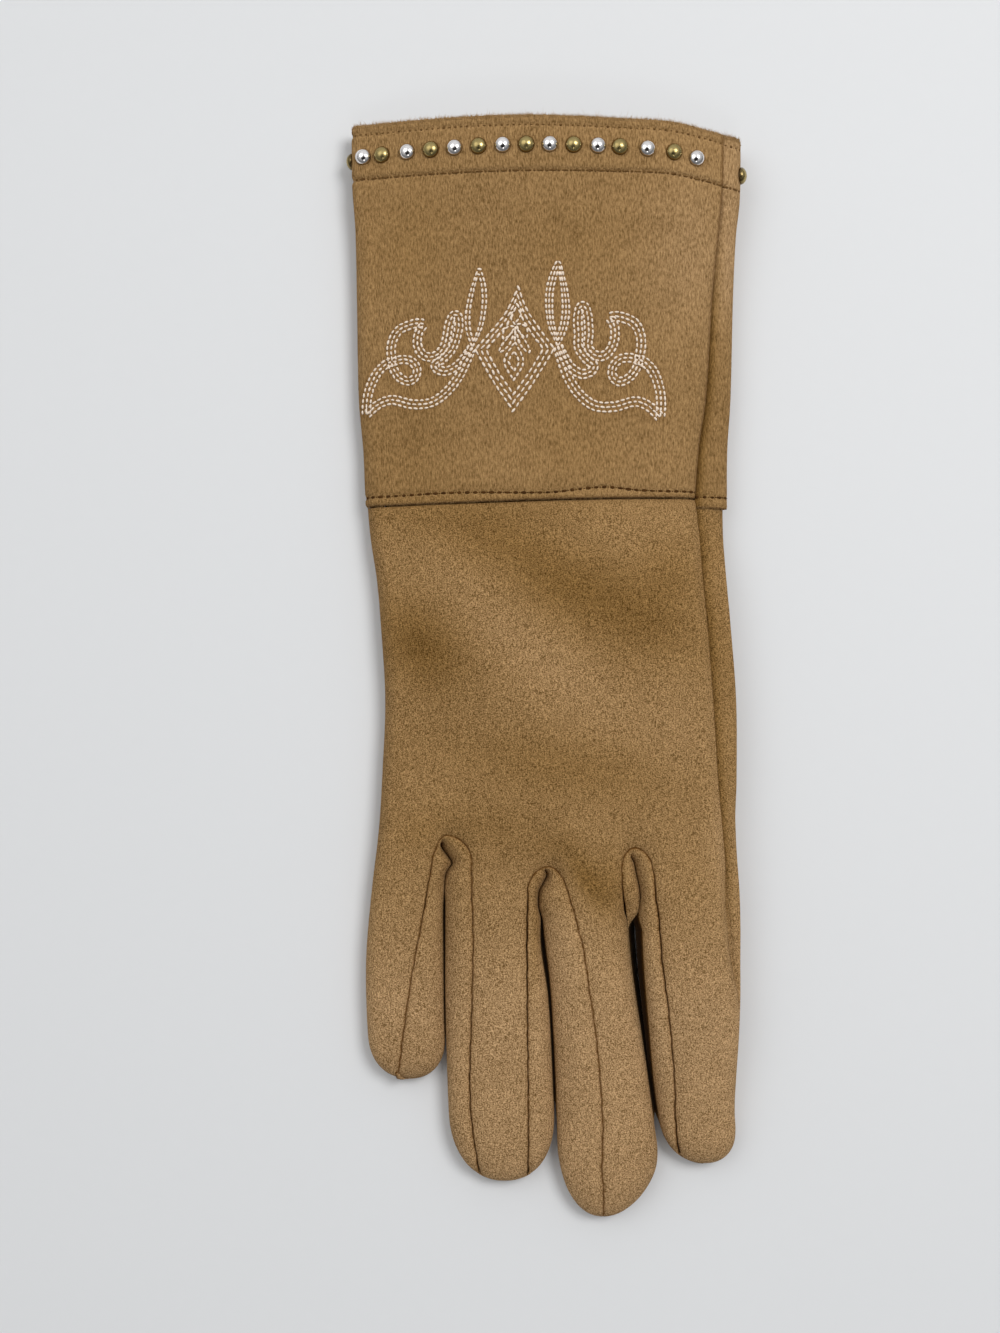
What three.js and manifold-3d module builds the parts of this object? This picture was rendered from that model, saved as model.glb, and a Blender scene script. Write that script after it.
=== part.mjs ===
// A woman's right-hand dress glove in suede cloth, lying palm down with its thumb folded under the palm.
// It has a long gauntlet cuff, open at the mouth, whose hem carries a ring of domed studs.
// Millimetres, +Z up. +Y runs from the fingertips to the mouth of the cuff, +X towards the index finger.
// The origin is on the surface that the glove lies on, under the middle of its outline.
//
// The glove is sewn from a back panel, a palm panel, three folded strips between the fingers, a thumb and
// two cuff panels. Each tube is a hollow loft, cut into its panels by thin slots along the seams.

import * as THREE from "three";
import { mergeVertices } from "three/addons/utils/BufferGeometryUtils.js";
import Module from "manifold-3d";

const wasm = await Module();
wasm.setup();

// Driving dimensions

const WALL = 1.0; // suede cloth with its knitted backing
const HEM_WALL = 1.9; // the cloth turned in on itself at the mouth of the cuff
const SEAM_GAP = 0.3; // between two panels at a seam
const MOUTH_Y = 137.3;
const HEM_Y = 123.5; // lower stitch line of the turned hem
const CUFF_END_Y = 42.8;
const HAND_TOP_Y = CUFF_END_Y - SEAM_GAP;
const FOLD_Z = 3.8; // height of the hand's side folds above its underside
const HAND_ROLL = 3.9; // width of the hand's side folds
const FINGER_ROLL = 6;
const CUFF_FOLD_Z = 4.4;
const CUFF_ROLL = 4.4;
const THUMB_THICK = 4.4; // the folded thumb, pressed flat
const PALM_LIFT = THUMB_THICK + SEAM_GAP; // the palm where it lies on the thumb
const STUD_R = 1.8;
const STUD_H = 1.25;
const STUD_PITCH = 6.0;
const STUD_Y = 129.3;
const STUD_BOW = 1.2; // how far the row of studs falls towards its ends
const STUD_LIFT = 1.7; // the cuff's underside, where its studs hold it up

// Outline of the glove as it lies: the left fold, the side seam and the right fold,
// and the height of the back near the left, at the middle and near the right.
const CUFF = [
  { y: 137.3, left: -48.7, seam: 44.1, right: 49.0, topLeft: 11.5, topMid: 16.4, topRight: 13.0 },
  { y: 121.7, left: -48.5, seam: 43.7, right: 48.8, topLeft: 11.5, topMid: 16.0, topRight: 13.0 },
  { y: 111.7, left: -47.8, seam: 43.0, right: 47.9, topLeft: 11.0, topMid: 15.4, topRight: 12.6 },
  { y: 94.0, left: -47.5, seam: 41.5, right: 47.3, topLeft: 10.6, topMid: 14.6, topRight: 12.2 },
  { y: 68.8, left: -47.0, seam: 40.0, right: 46.7, topLeft: 10.3, topMid: 13.8, topRight: 11.7 },
  { y: 56.2, left: -45.9, seam: 38.6, right: 45.9, topLeft: 10.3, topMid: 13.3, topRight: 11.5 },
  { y: 42.8, left: -45.3, seam: 37.7, right: 45.8, topLeft: 10.4, topMid: 13.1, topRight: 11.6 },
];
const HAND = [
  { y: 42.5, left: -44.8, seam: 38.0, right: 44.9, topLeft: 9.5, topMid: 12.2, topRight: 10.7 },
  { y: 33.6, left: -44.0, seam: 38.7, right: 44.9, topLeft: 9.4, topMid: 12.2, topRight: 11.2 },
  { y: 23.5, left: -42.5, seam: 39.7, right: 45.4, topLeft: 9.3, topMid: 12.3, topRight: 12.2 },
  { y: 13.4, left: -41.6, seam: 40.6, right: 46.2, topLeft: 9.3, topMid: 12.4, topRight: 13.1 },
  { y: -6.7, left: -40.4, seam: 42.6, right: 47.6, topLeft: 9.3, topMid: 12.6, topRight: 13.7 },
  { y: -26.9, left: -41.2, seam: 43.6, right: 47.6, topLeft: 9.5, topMid: 12.2, topRight: 13.8 },
  { y: -37.0, left: -41.8, seam: 44.3, right: 47.2, topLeft: 9.6, topMid: 11.7, topRight: 13.7 },
  { y: -52.1, left: -43.2, seam: 46.3, right: 47.9, topLeft: 9.7, topMid: 11.2, topRight: 13.5 },
];
const TOP_COLUMNS = { left: -34, right: 36 }; // where topLeft and topRight are measured

// Each finger from its root to its tip: the middle of its section, half its width, the height of its back,
// and where its two back seams lie, as shares of the half width. tipLength is the length of the rounded end.
const FINGERS = {
  little: {
    tipLength: 11,
    rows: [
      { y: -34.0, centre: -32.8, half: 8.0, top: 9.0, leftSeam: -1, rightSeam: 0.66 },
      { y: -41.9, centre: -33.3, half: 9.0, top: 9.7, leftSeam: -1, rightSeam: 0.63 },
      { y: -57.0, centre: -34.8, half: 9.2, top: 9.2, leftSeam: -1, rightSeam: 0.52 },
      { y: -72.0, centre: -35.4, half: 9.8, top: 8.9, leftSeam: -1, rightSeam: 0.26 },
      { y: -87.1, centre: -35.2, half: 9.8, top: 8.6, leftSeam: -1, rightSeam: 0.0 },
      { y: -102.5, centre: -34.3, half: 9.6, top: 7.8, leftSeam: -1, rightSeam: -0.3 },
    ],
  },
  ring: {
    tipLength: 17.5,
    rows: [
      { y: -40.0, centre: -12.7, half: 11.2, top: 10.0, leftSeam: -0.5, rightSeam: 0.64 },
      { y: -51.9, centre: -12.7, half: 12.3, top: 10.8, leftSeam: -0.47, rightSeam: 0.67 },
      { y: -67.0, centre: -13.2, half: 12.0, top: 10.3, leftSeam: -0.41, rightSeam: 0.72 },
      { y: -82.1, centre: -12.2, half: 13.0, top: 10.0, leftSeam: -0.48, rightSeam: 0.59 },
      { y: -107.2, centre: -11.2, half: 13.3, top: 9.5, leftSeam: -0.58, rightSeam: 0.52 },
      { y: -128.2, centre: -10.2, half: 13.2, top: 8.0, leftSeam: -0.75, rightSeam: 0.72 },
    ],
  },
  middle: {
    tipLength: 19.5,
    rows: [
      { y: -40.0, centre: 12.0, half: 10.0, top: 10.4, leftSeam: -0.76, rightSeam: 0.56 },
      { y: -51.9, centre: 11.8, half: 11.3, top: 11.3, leftSeam: -0.74, rightSeam: 0.58 },
      { y: -62.0, centre: 10.9, half: 11.5, top: 11.1, leftSeam: -0.3, rightSeam: 0.75 },
      { y: -77.1, centre: 12.0, half: 10.9, top: 10.8, leftSeam: -0.13, rightSeam: 0.78 },
      { y: -92.2, centre: 13.3, half: 11.2, top: 10.6, leftSeam: -0.05, rightSeam: 0.78 },
      { y: -112.3, centre: 15.1, half: 12.2, top: 10.0, leftSeam: -0.07, rightSeam: 0.78 },
      { y: -124.0, centre: 16.1, half: 12.9, top: 9.3, leftSeam: -0.16, rightSeam: 0.78 },
      { y: -137.3, centre: 15.4, half: 13.0, top: 8.2, leftSeam: -0.1, rightSeam: 0.78 },
    ],
  },
  index: {
    tipLength: 10.5,
    rows: [
      { y: -38.0, centre: 35.8, half: 10.9, top: 13.2, leftSeam: -0.8, rightSeam: 0.82 },
      { y: -51.9, centre: 36.0, half: 11.9, top: 13.9, leftSeam: -0.77, rightSeam: 0.84 },
      { y: -72.0, centre: 36.5, half: 12.1, top: 13.5, leftSeam: -0.64, rightSeam: 0.86 },
      { y: -82.1, centre: 36.9, half: 11.7, top: 13.2, leftSeam: -0.62, rightSeam: 0.86 },
      { y: -102.2, centre: 37.6, half: 10.4, top: 10.6, leftSeam: -0.63, rightSeam: 0.84 },
      { y: -112.3, centre: 38.3, half: 9.6, top: 9.2, leftSeam: -0.69, rightSeam: 0.84 },
      { y: -123.7, centre: 40.2, half: 9.3, top: 8.0, leftSeam: -0.78, rightSeam: 0.78 },
    ],
  },
};
const UNDER_SEAM = 0.62; // the palm seams' share of a finger's half width

// The forks between the fingers: the top of the U-shaped seam on the back, and the wall at its foot.
const FORKS = [
  { name: "little_ring", left: "little", right: "ring", x: -24.1, seamY: -40.4, wallY: -47.2, arch: 7 },
  { name: "ring_middle", left: "ring", right: "middle", x: -0.2, seamY: -48.5, wallY: -53.5, arch: 6 },
  { name: "middle_index", left: "middle", right: "index", x: 21.8, seamY: -43.5, wallY: -50.1, arch: 7 },
];

// The thumb, pressed flat under the palm and the root of the index finger.
const THUMB = {
  tipLength: 14,
  rows: [
    { y: 18.6, centre: 35.2, half: 3.6 },
    { y: 17.4, centre: 35.2, half: 6.4 },
    { y: 14.5, centre: 35.3, half: 8.6 },
    { y: 8.5, centre: 35.6, half: 10.0 },
    { y: -12.0, centre: 36.4, half: 10.8 },
    { y: -42.0, centre: 36.6, half: 10.2 },
    { y: -54.3, centre: 37.9, half: 10.2 },
    { y: -66.8, centre: 38.5, half: 10.2 },
    { y: -88.3, centre: 38.7, half: 10.0 },
  ],
};
const THUMB_HOLE = { x: 36, y: 4.5, halfX: 5.6, halfY: 7.5 }; // from the palm into the thumb

// Where the palm climbs onto the thumb, as two ramps.
const LIFT_X = { from: 13, to: 24.5 };
const LIFT_Y = { wrist: 42, palm: 20.5, tip: -89, end: -107 };

// Table lookups and small sums

const mix = (a, b, t) => a + (b - a) * t;

/** 0 before a, 1 after b, with a smooth change between. */
function smoothstep(a, b, value) {
  const t = Math.min(Math.max((value - a) / (b - a), 0), 1);
  return t * t * (3 - 2 * t);
}

/** A column of a table whose rows run down in y, read at y on a smooth curve through the rows. */
function at(rows, column, y) {
  const last = rows.length - 1;
  if (y >= rows[0].y) return rows[0][column];
  if (y <= rows[last].y) return rows[last][column];
  const i = rows.findIndex((row, k) => k < last && y > rows[k + 1].y);
  const slope = (k) => {
    const before = rows[Math.max(k - 1, 0)];
    const after = rows[Math.min(k + 1, last)];
    return (after[column] - before[column]) / (after.y - before.y);
  };
  const span = rows[i + 1].y - rows[i].y;
  const t = (y - rows[i].y) / span;
  return (
    (2 * t ** 3 - 3 * t ** 2 + 1) * rows[i][column] +
    (t ** 3 - 2 * t ** 2 + t) * span * slope(i) +
    (3 * t ** 2 - 2 * t ** 3) * rows[i + 1][column] +
    (t ** 3 - t ** 2) * span * slope(i + 1)
  );
}

/** Height of the palm's underside above the surface: it climbs over the thumb. */
function palmLift(x, y) {
  const across = smoothstep(LIFT_X.from, LIFT_X.to, x);
  const along = smoothstep(LIFT_Y.wrist, LIFT_Y.palm, y) * smoothstep(LIFT_Y.end, LIFT_Y.tip, y);
  return PALM_LIFT * across * along;
}

/** Height of the cuff's underside, which comes down from its studs to the wrist. */
function cuffUnder(y) {
  return STUD_LIFT * smoothstep(92, 122, y);
}

/** How far the cuff's end sags towards the hand at its right fold, most at the mouth. */
function mouthDrop(x, y) {
  return 4.2 * smoothstep(42, 50, x) * smoothstep(108, MOUTH_Y, y);
}

/** Height of the back: a curve through the three heights of a row, with a valley along the side seam. */
function backHeight(rows, x, y) {
  const left = at(rows, "topLeft", y);
  const mid = at(rows, "topMid", y);
  const right = at(rows, "topRight", y);
  const side = x < 0 ? left : right;
  const share = Math.min(Math.abs(x / (x < 0 ? TOP_COLUMNS.left : TOP_COLUMNS.right)), 1.25);
  const valley = 1.7 * Math.exp(-(((x - at(rows, "seam", y)) / 1.7) ** 2));
  return mix(mid, side, share ** 1.8) - valley;
}

// Solids

/** A manifold-3d solid from an indexed geometry whose faces share their corners. */
function solidOf(geometry) {
  const { position } = geometry.attributes;
  const triVerts = new Uint32Array(geometry.index.array);
  return new wasm.Manifold(new wasm.Mesh({ numProp: 3, vertProperties: position.array, triVerts }));
}

/** A manifold-3d solid from a closed primitive, whose faces have corners of their own. */
function solidFrom(geometry) {
  const bare = new THREE.BufferGeometry();
  bare.setAttribute("position", geometry.getAttribute("position"));
  bare.setIndex(geometry.index);
  return solidOf(mergeVertices(bare, 1e-4));
}

/**
 * A solid lofted through rings. Each ring is { top, bottom }: two rows of points from the right fold to the
 * left fold that share their first and last point. The rings run down in y.
 */
function loft(rings) {
  const steps = rings[0].top.length - 1;
  const count = 2 * steps;
  const points = rings.flatMap(({ top, bottom }) => [...top, ...bottom.slice(1, -1).reverse()]);
  const faces = [];
  const quad = (a, b, c, d) => faces.push(a, b, c, a, c, d);
  for (let r = 0; r + 1 < rings.length; r++)
    for (let k = 0; k < count; k++) {
      const next = (k + 1) % count;
      quad(r * count + k, r * count + next, (r + 1) * count + next, (r + 1) * count + k);
    }
  const low = (k) => (k === 0 ? 0 : k === steps ? steps : count - k);
  const end = (rings.length - 1) * count;
  for (let k = 0; k < steps; k++) {
    if (k > 0) faces.push(k, low(k), k + 1, end + k, end + k + 1, end + low(k));
    if (k < steps - 1) faces.push(low(k), low(k + 1), k + 1, end + low(k), end + k + 1, end + low(k + 1));
  }
  const geometry = new THREE.BufferGeometry().setFromPoints(points);
  geometry.setIndex(faces);
  return solidOf(geometry);
}

/**
 * One section of a flattened tube. Its folds are quarter ellipses of the given roll, and between them the top
 * and bottom follow their own heights. inset moves the whole section inwards, for the hollow.
 */
function ring({ left, right, roll, foldLeft, foldRight, top, bottom, y, flats }, inset) {
  const QUARTER = 3;
  const width = Math.min(roll, (right - left) * 0.45);
  const startX = right - width;
  const endX = left + width;
  const side = (height) => {
    const row = [];
    for (let k = 0; k <= QUARTER; k++) {
      const turn = (k / QUARTER) * (Math.PI / 2);
      const x = startX + (width - inset) * Math.cos(turn);
      row.push([x, foldRight + (height(startX) - foldRight) * Math.sin(turn)]);
    }
    for (const x of flats) row.push([x, height(x)]);
    for (let k = QUARTER; k >= 0; k--) {
      const turn = (k / QUARTER) * (Math.PI / 2);
      const x = endX - (width - inset) * Math.cos(turn);
      row.push([x, foldLeft + (height(endX) - foldLeft) * Math.sin(turn)]);
    }
    return row.map(([x, z]) => new THREE.Vector3(x, y(x), z));
  };
  return { top: side((x) => top(x) - inset), bottom: side((x) => bottom(x) + inset) };
}

/** Places across a tube where its section has points: close together by the side seam, then even. */
function spreadAcross(seam, left, steps) {
  const even = Array.from({ length: steps }, (_, k) => mix(seam - 8, left + 2, k / (steps - 1)));
  return [seam, seam - 1.8, seam - 4.2, ...even];
}

/** The cuff as a solid, whole or inset for its hollow. */
function cuffTube(stations, inset) {
  const sections = stations.map((y) => {
    const left = at(CUFF, "left", y);
    const under = cuffUnder(y);
    return {
      left,
      right: at(CUFF, "right", y),
      roll: CUFF_ROLL,
      foldLeft: under + CUFF_FOLD_Z,
      foldRight: under + CUFF_FOLD_Z,
      top: (x) => backHeight(CUFF, x, y),
      bottom: () => under,
      y: (x) => y - mouthDrop(x, y),
      flats: spreadAcross(at(CUFF, "seam", y), left + CUFF_ROLL, 8),
    };
  });
  return loft(sections.map((section) => ring(section, inset)));
}

/** Where the hand ends between the fingers: a line through the walls of the forks. */
function knuckleLine(x) {
  const rows = [
    { y: 48, end: -49 },
    { y: FORKS[2].x, end: FORKS[2].wallY },
    { y: FORKS[1].x, end: FORKS[1].wallY },
    { y: FORKS[0].x, end: FORKS[0].wallY },
    { y: -45, end: -47 },
  ];
  return at(rows, "end", x);
}

/** The hand from the cuff to the forks, whole or inset for its hollow, with its end rounded between the fingers. */
function handTube(startY, inset) {
  const ROUND = 3.2; // radius of the rounded end
  const along = [0, 0.11, 0.23, 0.36, 0.5, 0.64, 0.78, 0.9].map((share) => ({ share, squeeze: 1 }));
  const rounded = [0, 32, 60, 84].map((degrees) => {
    const turn = THREE.MathUtils.degToRad(degrees);
    return { share: 1, back: ROUND * (1 - Math.sin(turn)), squeeze: Math.cos(turn) };
  });
  const sectionAt = ({ share, back = 0, squeeze }) => {
    const nominal = mix(startY, -50, share);
    const left = at(HAND, "left", nominal);
    const right = at(HAND, "right", nominal);
    const seam = at(HAND, "seam", nominal);
    const y = (x) => mix(startY, knuckleLine(x) + inset, share) + back;
    const middle = (x) => palmLift(x, nominal) + FOLD_Z + inset;
    const roll = mix(HAND_ROLL, FINGER_ROLL, smoothstep(0.75, 1, share));
    return {
      left,
      right,
      roll,
      foldLeft: palmLift(left, nominal) + FOLD_Z,
      foldRight: palmLift(right, nominal) + FOLD_Z - 0.4,
      top: (x) => mix(middle(x), backHeight(HAND, x, nominal), squeeze),
      bottom: (x) => mix(middle(x) - 2 * inset, palmLift(x, nominal), squeeze),
      y,
      flats: spreadAcross(Math.min(seam, right - roll - 0.8), left + roll, 8),
    };
  };
  return loft([...along, ...rounded].map((station) => ring(sectionAt(station), inset)));
}

/** Stations down a finger or thumb, closer together round its tip. */
function fingerStations(rootY, tipY, tipLength, steps = 5) {
  const straight = Array.from({ length: steps }, (_, k) => mix(rootY, tipY + tipLength, k / steps));
  const rounded = [0, 0.4, 0.7, 0.89, 0.985].map((share) => tipY + tipLength * (1 - share));
  return [...straight, ...rounded];
}

/** A finger or the thumb as a solid, whole or inset for its hollow. */
function fingerTube({ rows, tipLength }, heights, inset, rootStations = []) {
  const tip = rows[rows.length - 1].y;
  const sectionAt = (y) => {
    const share = Math.max((tip + tipLength - y) / tipLength, 0);
    const narrow = Math.sqrt(Math.max(1 - share ** 2, 0.004));
    const low = Math.sqrt(Math.max(1 - share ** 3, 0.02));
    const half = Math.max(at(rows, "half", y) * narrow, inset + 0.8);
    const centre = at(rows, "centre", y);
    const { top, fold, bottom } = heights(y);
    return {
      left: centre - half,
      right: centre + half,
      roll: FINGER_ROLL,
      foldLeft: fold,
      foldRight: fold,
      top: () => Math.max(mix(fold, top, low), fold + inset + 0.3),
      bottom: (x) => Math.min(mix(fold, bottom(x), low), fold - inset - 0.3),
      y: () => y,
      flats: [centre],
    };
  };
  const rootY = rows[rootStations.length].y;
  const stations = fingerStations(rootY - inset, tip + inset, tipLength - inset);
  return loft([...rootStations, ...stations].map((y) => ring(sectionAt(y), inset)));
}

/** Heights of a finger's section. The index finger lies over the end of the thumb. */
function fingerHeights(name) {
  const { rows } = FINGERS[name];
  return (y) => {
    const top = at(rows, "top", y);
    if (name === "index") return { top, bottom: () => palmLift(40, y), fold: mix(palmLift(40, y), top, 0.45) };
    const root = smoothstep(-72, -45, y);
    const rise = (x) => palmLift(x, y) * root;
    const fold = 0.45 * top + 0.35 * rise(at(rows, "centre", y) + at(rows, "half", y));
    return { top, bottom: (x) => Math.min(rise(x), fold - 1.6), fold };
  };
}

// Slots that part the panels along the seams

/** A thin upright wall along a line in plan. Each point says how low and how high the wall reaches there. */
function slotAlong(line) {
  const rings = line.map(({ x, y, low, high }, i) => {
    const before = line[Math.max(i - 1, 0)];
    const after = line[Math.min(i + 1, line.length - 1)];
    const run = new THREE.Vector2(after.x - before.x, after.y - before.y).normalize();
    const offset = new THREE.Vector2(-run.y, run.x).multiplyScalar(SEAM_GAP / 2);
    const corner = (side, z) => new THREE.Vector3(x + side * offset.x, y + side * offset.y, z);
    const [a, b, c, d] = [corner(1, high), corner(-1, high), corner(-1, low), corner(1, low)];
    return { top: [a, b, c], bottom: [a, d, c] };
  });
  const solid = loft(rings);
  return solid.volume() > 0 ? solid : loft(rings.reverse());
}

const SLOT_REACH = 30; // a slot's outer edge, clear above or below the glove

/** Points down a finger's seam, from its root to just past its tip. */
function seamLine(name, shareAt, fromY, isBack) {
  const { rows, tipLength } = FINGERS[name];
  const tip = rows[rows.length - 1].y;
  const heights = fingerHeights(name);
  const stations = fingerStations(fromY, tip, tipLength, 6);
  stations.push(tip, tip - 2.5);
  return stations.map((y) => {
    const share = Math.max((tip + tipLength - y) / tipLength, 0);
    const half = at(rows, "half", y) * Math.sqrt(Math.max(1 - share ** 2, 0));
    const { fold } = heights(y);
    const x = at(rows, "centre", y) + shareAt(y) * half;
    return isBack ? { x, y, low: fold, high: SLOT_REACH } : { x, y, low: -SLOT_REACH, high: fold };
  });
}

/** The U-shaped seam of a fork: down to one fingertip, round the arch, and down to the other tip. */
function forkSlot({ left, right, x, seamY, wallY, arch }, isBack) {
  const archTop = isBack ? seamY : wallY + 3.6;
  const rise = isBack ? arch : 4.2;
  const joinY = archTop - rise;
  const leftShare = isBack ? (y) => at(FINGERS[left].rows, "rightSeam", y) : () => UNDER_SEAM;
  const rightShare = isBack ? (y) => at(FINGERS[right].rows, "leftSeam", y) : () => -UNDER_SEAM;
  const leftLine = seamLine(left, leftShare, joinY, isBack);
  const rightLine = seamLine(right, rightShare, joinY, isBack);
  const [a, b] = [leftLine[0], rightLine[0]];
  const crest = [157, 135, 112, 90, 68, 45, 23].map((degrees) => {
    const turn = THREE.MathUtils.degToRad(degrees);
    const lean = (x - (a.x + b.x) / 2) * Math.sin(turn);
    const point = {
      x: (a.x + b.x) / 2 + ((b.x - a.x) / 2) * Math.cos(turn) + lean,
      y: joinY + rise * Math.sin(turn),
    };
    const middle = palmLift(point.x, point.y) + FOLD_Z;
    return isBack ? { ...point, low: middle, high: SLOT_REACH } : { ...point, low: -SLOT_REACH, high: middle };
  });
  return slotAlong([...leftLine.reverse(), ...crest, ...rightLine]);
}

/** The side seam, from the cuff down the back of the hand and along the index finger to its tip. */
function sideSeamSlot() {
  const hand = [46, 33.6, 23.5, 13.4, 3.3, -6.7, -16.8, -26.9, -37, -44].map((y) => ({
    x: at(HAND, "seam", y),
    y,
    low: palmLift(45, y) + FOLD_Z,
    high: SLOT_REACH,
  }));
  return slotAlong([...hand, ...seamLine("index", (y) => at(FINGERS.index.rows, "rightSeam", y), -52, true)]);
}

/** The hidden seam under the left fold, from the cuff to the tip of the little finger. */
function underSeamSlot() {
  const INBOARD = 4.6;
  const hand = [46, 33.6, 23.5, 13.4, -6.7, -26.9, -37].map((y) => ({
    x: at(HAND, "left", y) + INBOARD,
    y,
    low: -SLOT_REACH,
    high: FOLD_Z,
  }));
  return slotAlong([...hand, ...seamLine("little", () => -0.55, -46, false)]);
}

/** A flat slot through the end of a fingertip, between its back and its palm. */
function tipSlot(name) {
  const { rows } = FINGERS[name];
  const tip = rows[rows.length - 1].y;
  const { fold } = fingerHeights(name)(tip);
  const plate = new THREE.BoxGeometry(12, 6, SEAM_GAP);
  plate.translate(at(rows, "centre", tip), tip - 3 + 2.2, fold);
  return solidFrom(plate);
}

// Cutting and naming the panels

const union = (solids) => solids.reduce((all, solid) => all.add(solid));

/** The loose body of a cut solid that holds a point. */
function bodyAt(bodies, [x, y, z]) {
  const probe = solidFrom(new THREE.BoxGeometry(0.5, 0.5, 0.5).translate(x, y, z));
  const found = bodies.filter((body) => body.intersect(probe).volume() > 0);
  if (found.length !== 1) throw new Error(`${found.length} panels at ${x}, ${y}, ${z}`);
  return found[0];
}

/** The hand's panels as { name: solid }. */
function handPanels() {
  const names = Object.keys(FINGERS);
  const fingers = (inset) =>
    names.map((name) => fingerTube(FINGERS[name], fingerHeights(name), inset));
  const outside = union([handTube(HAND_TOP_Y, 0), ...fingers(0)]);
  const hollow = union([handTube(HAND_TOP_Y + 3, WALL), ...fingers(WALL)]);
  const slots = [
    ...FORKS.map((fork) => forkSlot(fork, true)),
    ...FORKS.map((fork) => forkSlot(fork, false)),
    ...names.map(tipSlot),
    sideSeamSlot(),
    underSeamSlot(),
  ];
  const bodies = outside.subtract(hollow).subtract(union(slots)).decompose();
  const hole = new THREE.CylinderGeometry(1, 1, 20, 16).rotateX(Math.PI / 2);
  hole.scale(THUMB_HOLE.halfX, THUMB_HOLE.halfY, 1).translate(THUMB_HOLE.x, THUMB_HOLE.y, 0);
  const panels = {
    back_panel: bodyAt(bodies, [0, 0, backHeight(HAND, 0, 0) - WALL / 2]),
    palm_panel: bodyAt(bodies, [0, 0, WALL / 2]).subtract(solidFrom(hole)),
  };
  for (const { name, x, wallY } of FORKS)
    panels[`fourchette_${name}`] = bodyAt(bodies, [x, wallY + WALL / 2, palmLift(x, wallY) + FOLD_Z]);
  return panels;
}

/** The thumb, hollow and pressed flat, open to the hand through the hole in the palm. */
function thumbPanel() {
  const heights = () => ({ top: THUMB_THICK, fold: THUMB_THICK / 2, bottom: () => 0 });
  const root = THUMB.rows.slice(0, 3).map(({ y }) => y);
  const outside = fingerTube(THUMB, heights, 0, root);
  const hollow = fingerTube(THUMB, heights, WALL, root.map((y) => y - WALL));
  const hole = new THREE.CylinderGeometry(1, 1, THUMB_THICK, 16).rotateX(Math.PI / 2);
  hole.scale(THUMB_HOLE.halfX, THUMB_HOLE.halfY, 1).translate(THUMB_HOLE.x, THUMB_HOLE.y, THUMB_THICK);
  return outside.subtract(hollow).subtract(solidFrom(hole));
}

/** The cuff's two panels, parted by the side seam and by the hidden seam under the left fold. */
function cuffPanels() {
  const down = [MOUTH_Y, 129.5, 121.7, 111.7, 101, 90, 79, 68.8, 56.2, CUFF_END_Y];
  const outside = cuffTube(down, 0);
  const hollow = union([
    cuffTube([MOUTH_Y + 4, HEM_Y + 0.8], HEM_WALL),
    cuffTube([HEM_Y + 1, 111.7, 101, 90, 79, 68.8, 56.2, CUFF_END_Y - 4], WALL),
  ]);
  const ends = [MOUTH_Y + 6, ...down, CUFF_END_Y - 6];
  const side = ends.map((y) => ({ x: at(CUFF, "seam", y), y, low: FOLD_Z + 2, high: SLOT_REACH }));
  const under = ends.map((y) => ({ x: at(CUFF, "left", y) + 5.2, y, low: -SLOT_REACH, high: FOLD_Z + 1 }));
  const bodies = outside.subtract(hollow).subtract(union([slotAlong(side), slotAlong(under)])).decompose();
  return {
    cuff_back: bodyAt(bodies, [0, 80, backHeight(CUFF, 0, 80) - WALL / 2]),
    cuff_palm: bodyAt(bodies, [0, 80, WALL / 2]),
  };
}

// Studs

/** A domed stud on the XY plane, its dome towards +Z. */
function studGeometry() {
  const profile = [
    [0, 0],
    [STUD_R, 0],
    [STUD_R * 0.92, STUD_H * 0.5],
    [STUD_R * 0.5, STUD_H * 0.92],
    [0, STUD_H],
  ].map(([radius, height]) => new THREE.Vector2(radius, height));
  return new THREE.LatheGeometry(profile, 10).rotateX(Math.PI / 2);
}

/** Points round the cuff at the studs, from the side seam over the back and round underneath, with outward normals. */
function studPlaces() {
  const y = STUD_Y;
  const [left, right, seam] = ["left", "right", "seam"].map((column) => at(CUFF, column, y));
  const under = cuffUnder(y);
  const roll = CUFF_ROLL;
  const fold = under + CUFF_FOLD_Z;
  const line = [];
  const quarter = (centreX, width, height, from, to) => {
    for (let k = 0; k <= 12; k++) {
      const turn = THREE.MathUtils.degToRad(mix(from, to, k / 12));
      line.push(new THREE.Vector2(centreX + width * Math.cos(turn), fold + height * Math.sin(turn)));
    }
  };
  for (let x = seam - 6; x > left + roll; x -= 0.5) line.push(new THREE.Vector2(x, backHeight(CUFF, x, y)));
  quarter(left + roll, roll, backHeight(CUFF, left + roll, y) - fold, 90, 180);
  quarter(left + roll, roll, fold - under, 180, 270);
  for (let x = left + roll + 1; x < right - roll; x += 0.5) line.push(new THREE.Vector2(x, under));
  quarter(right - roll, roll, fold - under, 270, 350);
  const places = [];
  let walked = 0;
  for (let i = 1; i < line.length; i++) {
    const step = line[i].distanceTo(line[i - 1]);
    if (walked <= 0) {
      const run = line[i].clone().sub(line[i - 1]).normalize();
      places.push({ x: line[i - 1].x, z: line[i - 1].y, normalX: -run.y * -1, normalZ: -run.x });
      walked += STUD_PITCH;
    }
    walked -= step;
  }
  return places;
}

// The glove

const suede = new THREE.MeshStandardMaterial({ color: 0x9b7a4b, roughness: 0.95, metalness: 0 });
const silver = new THREE.MeshStandardMaterial({ color: 0xd9d9dc, roughness: 0.15, metalness: 1 });
const brass = new THREE.MeshStandardMaterial({ color: 0x8f7a3e, roughness: 0.3, metalness: 1 });

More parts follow.
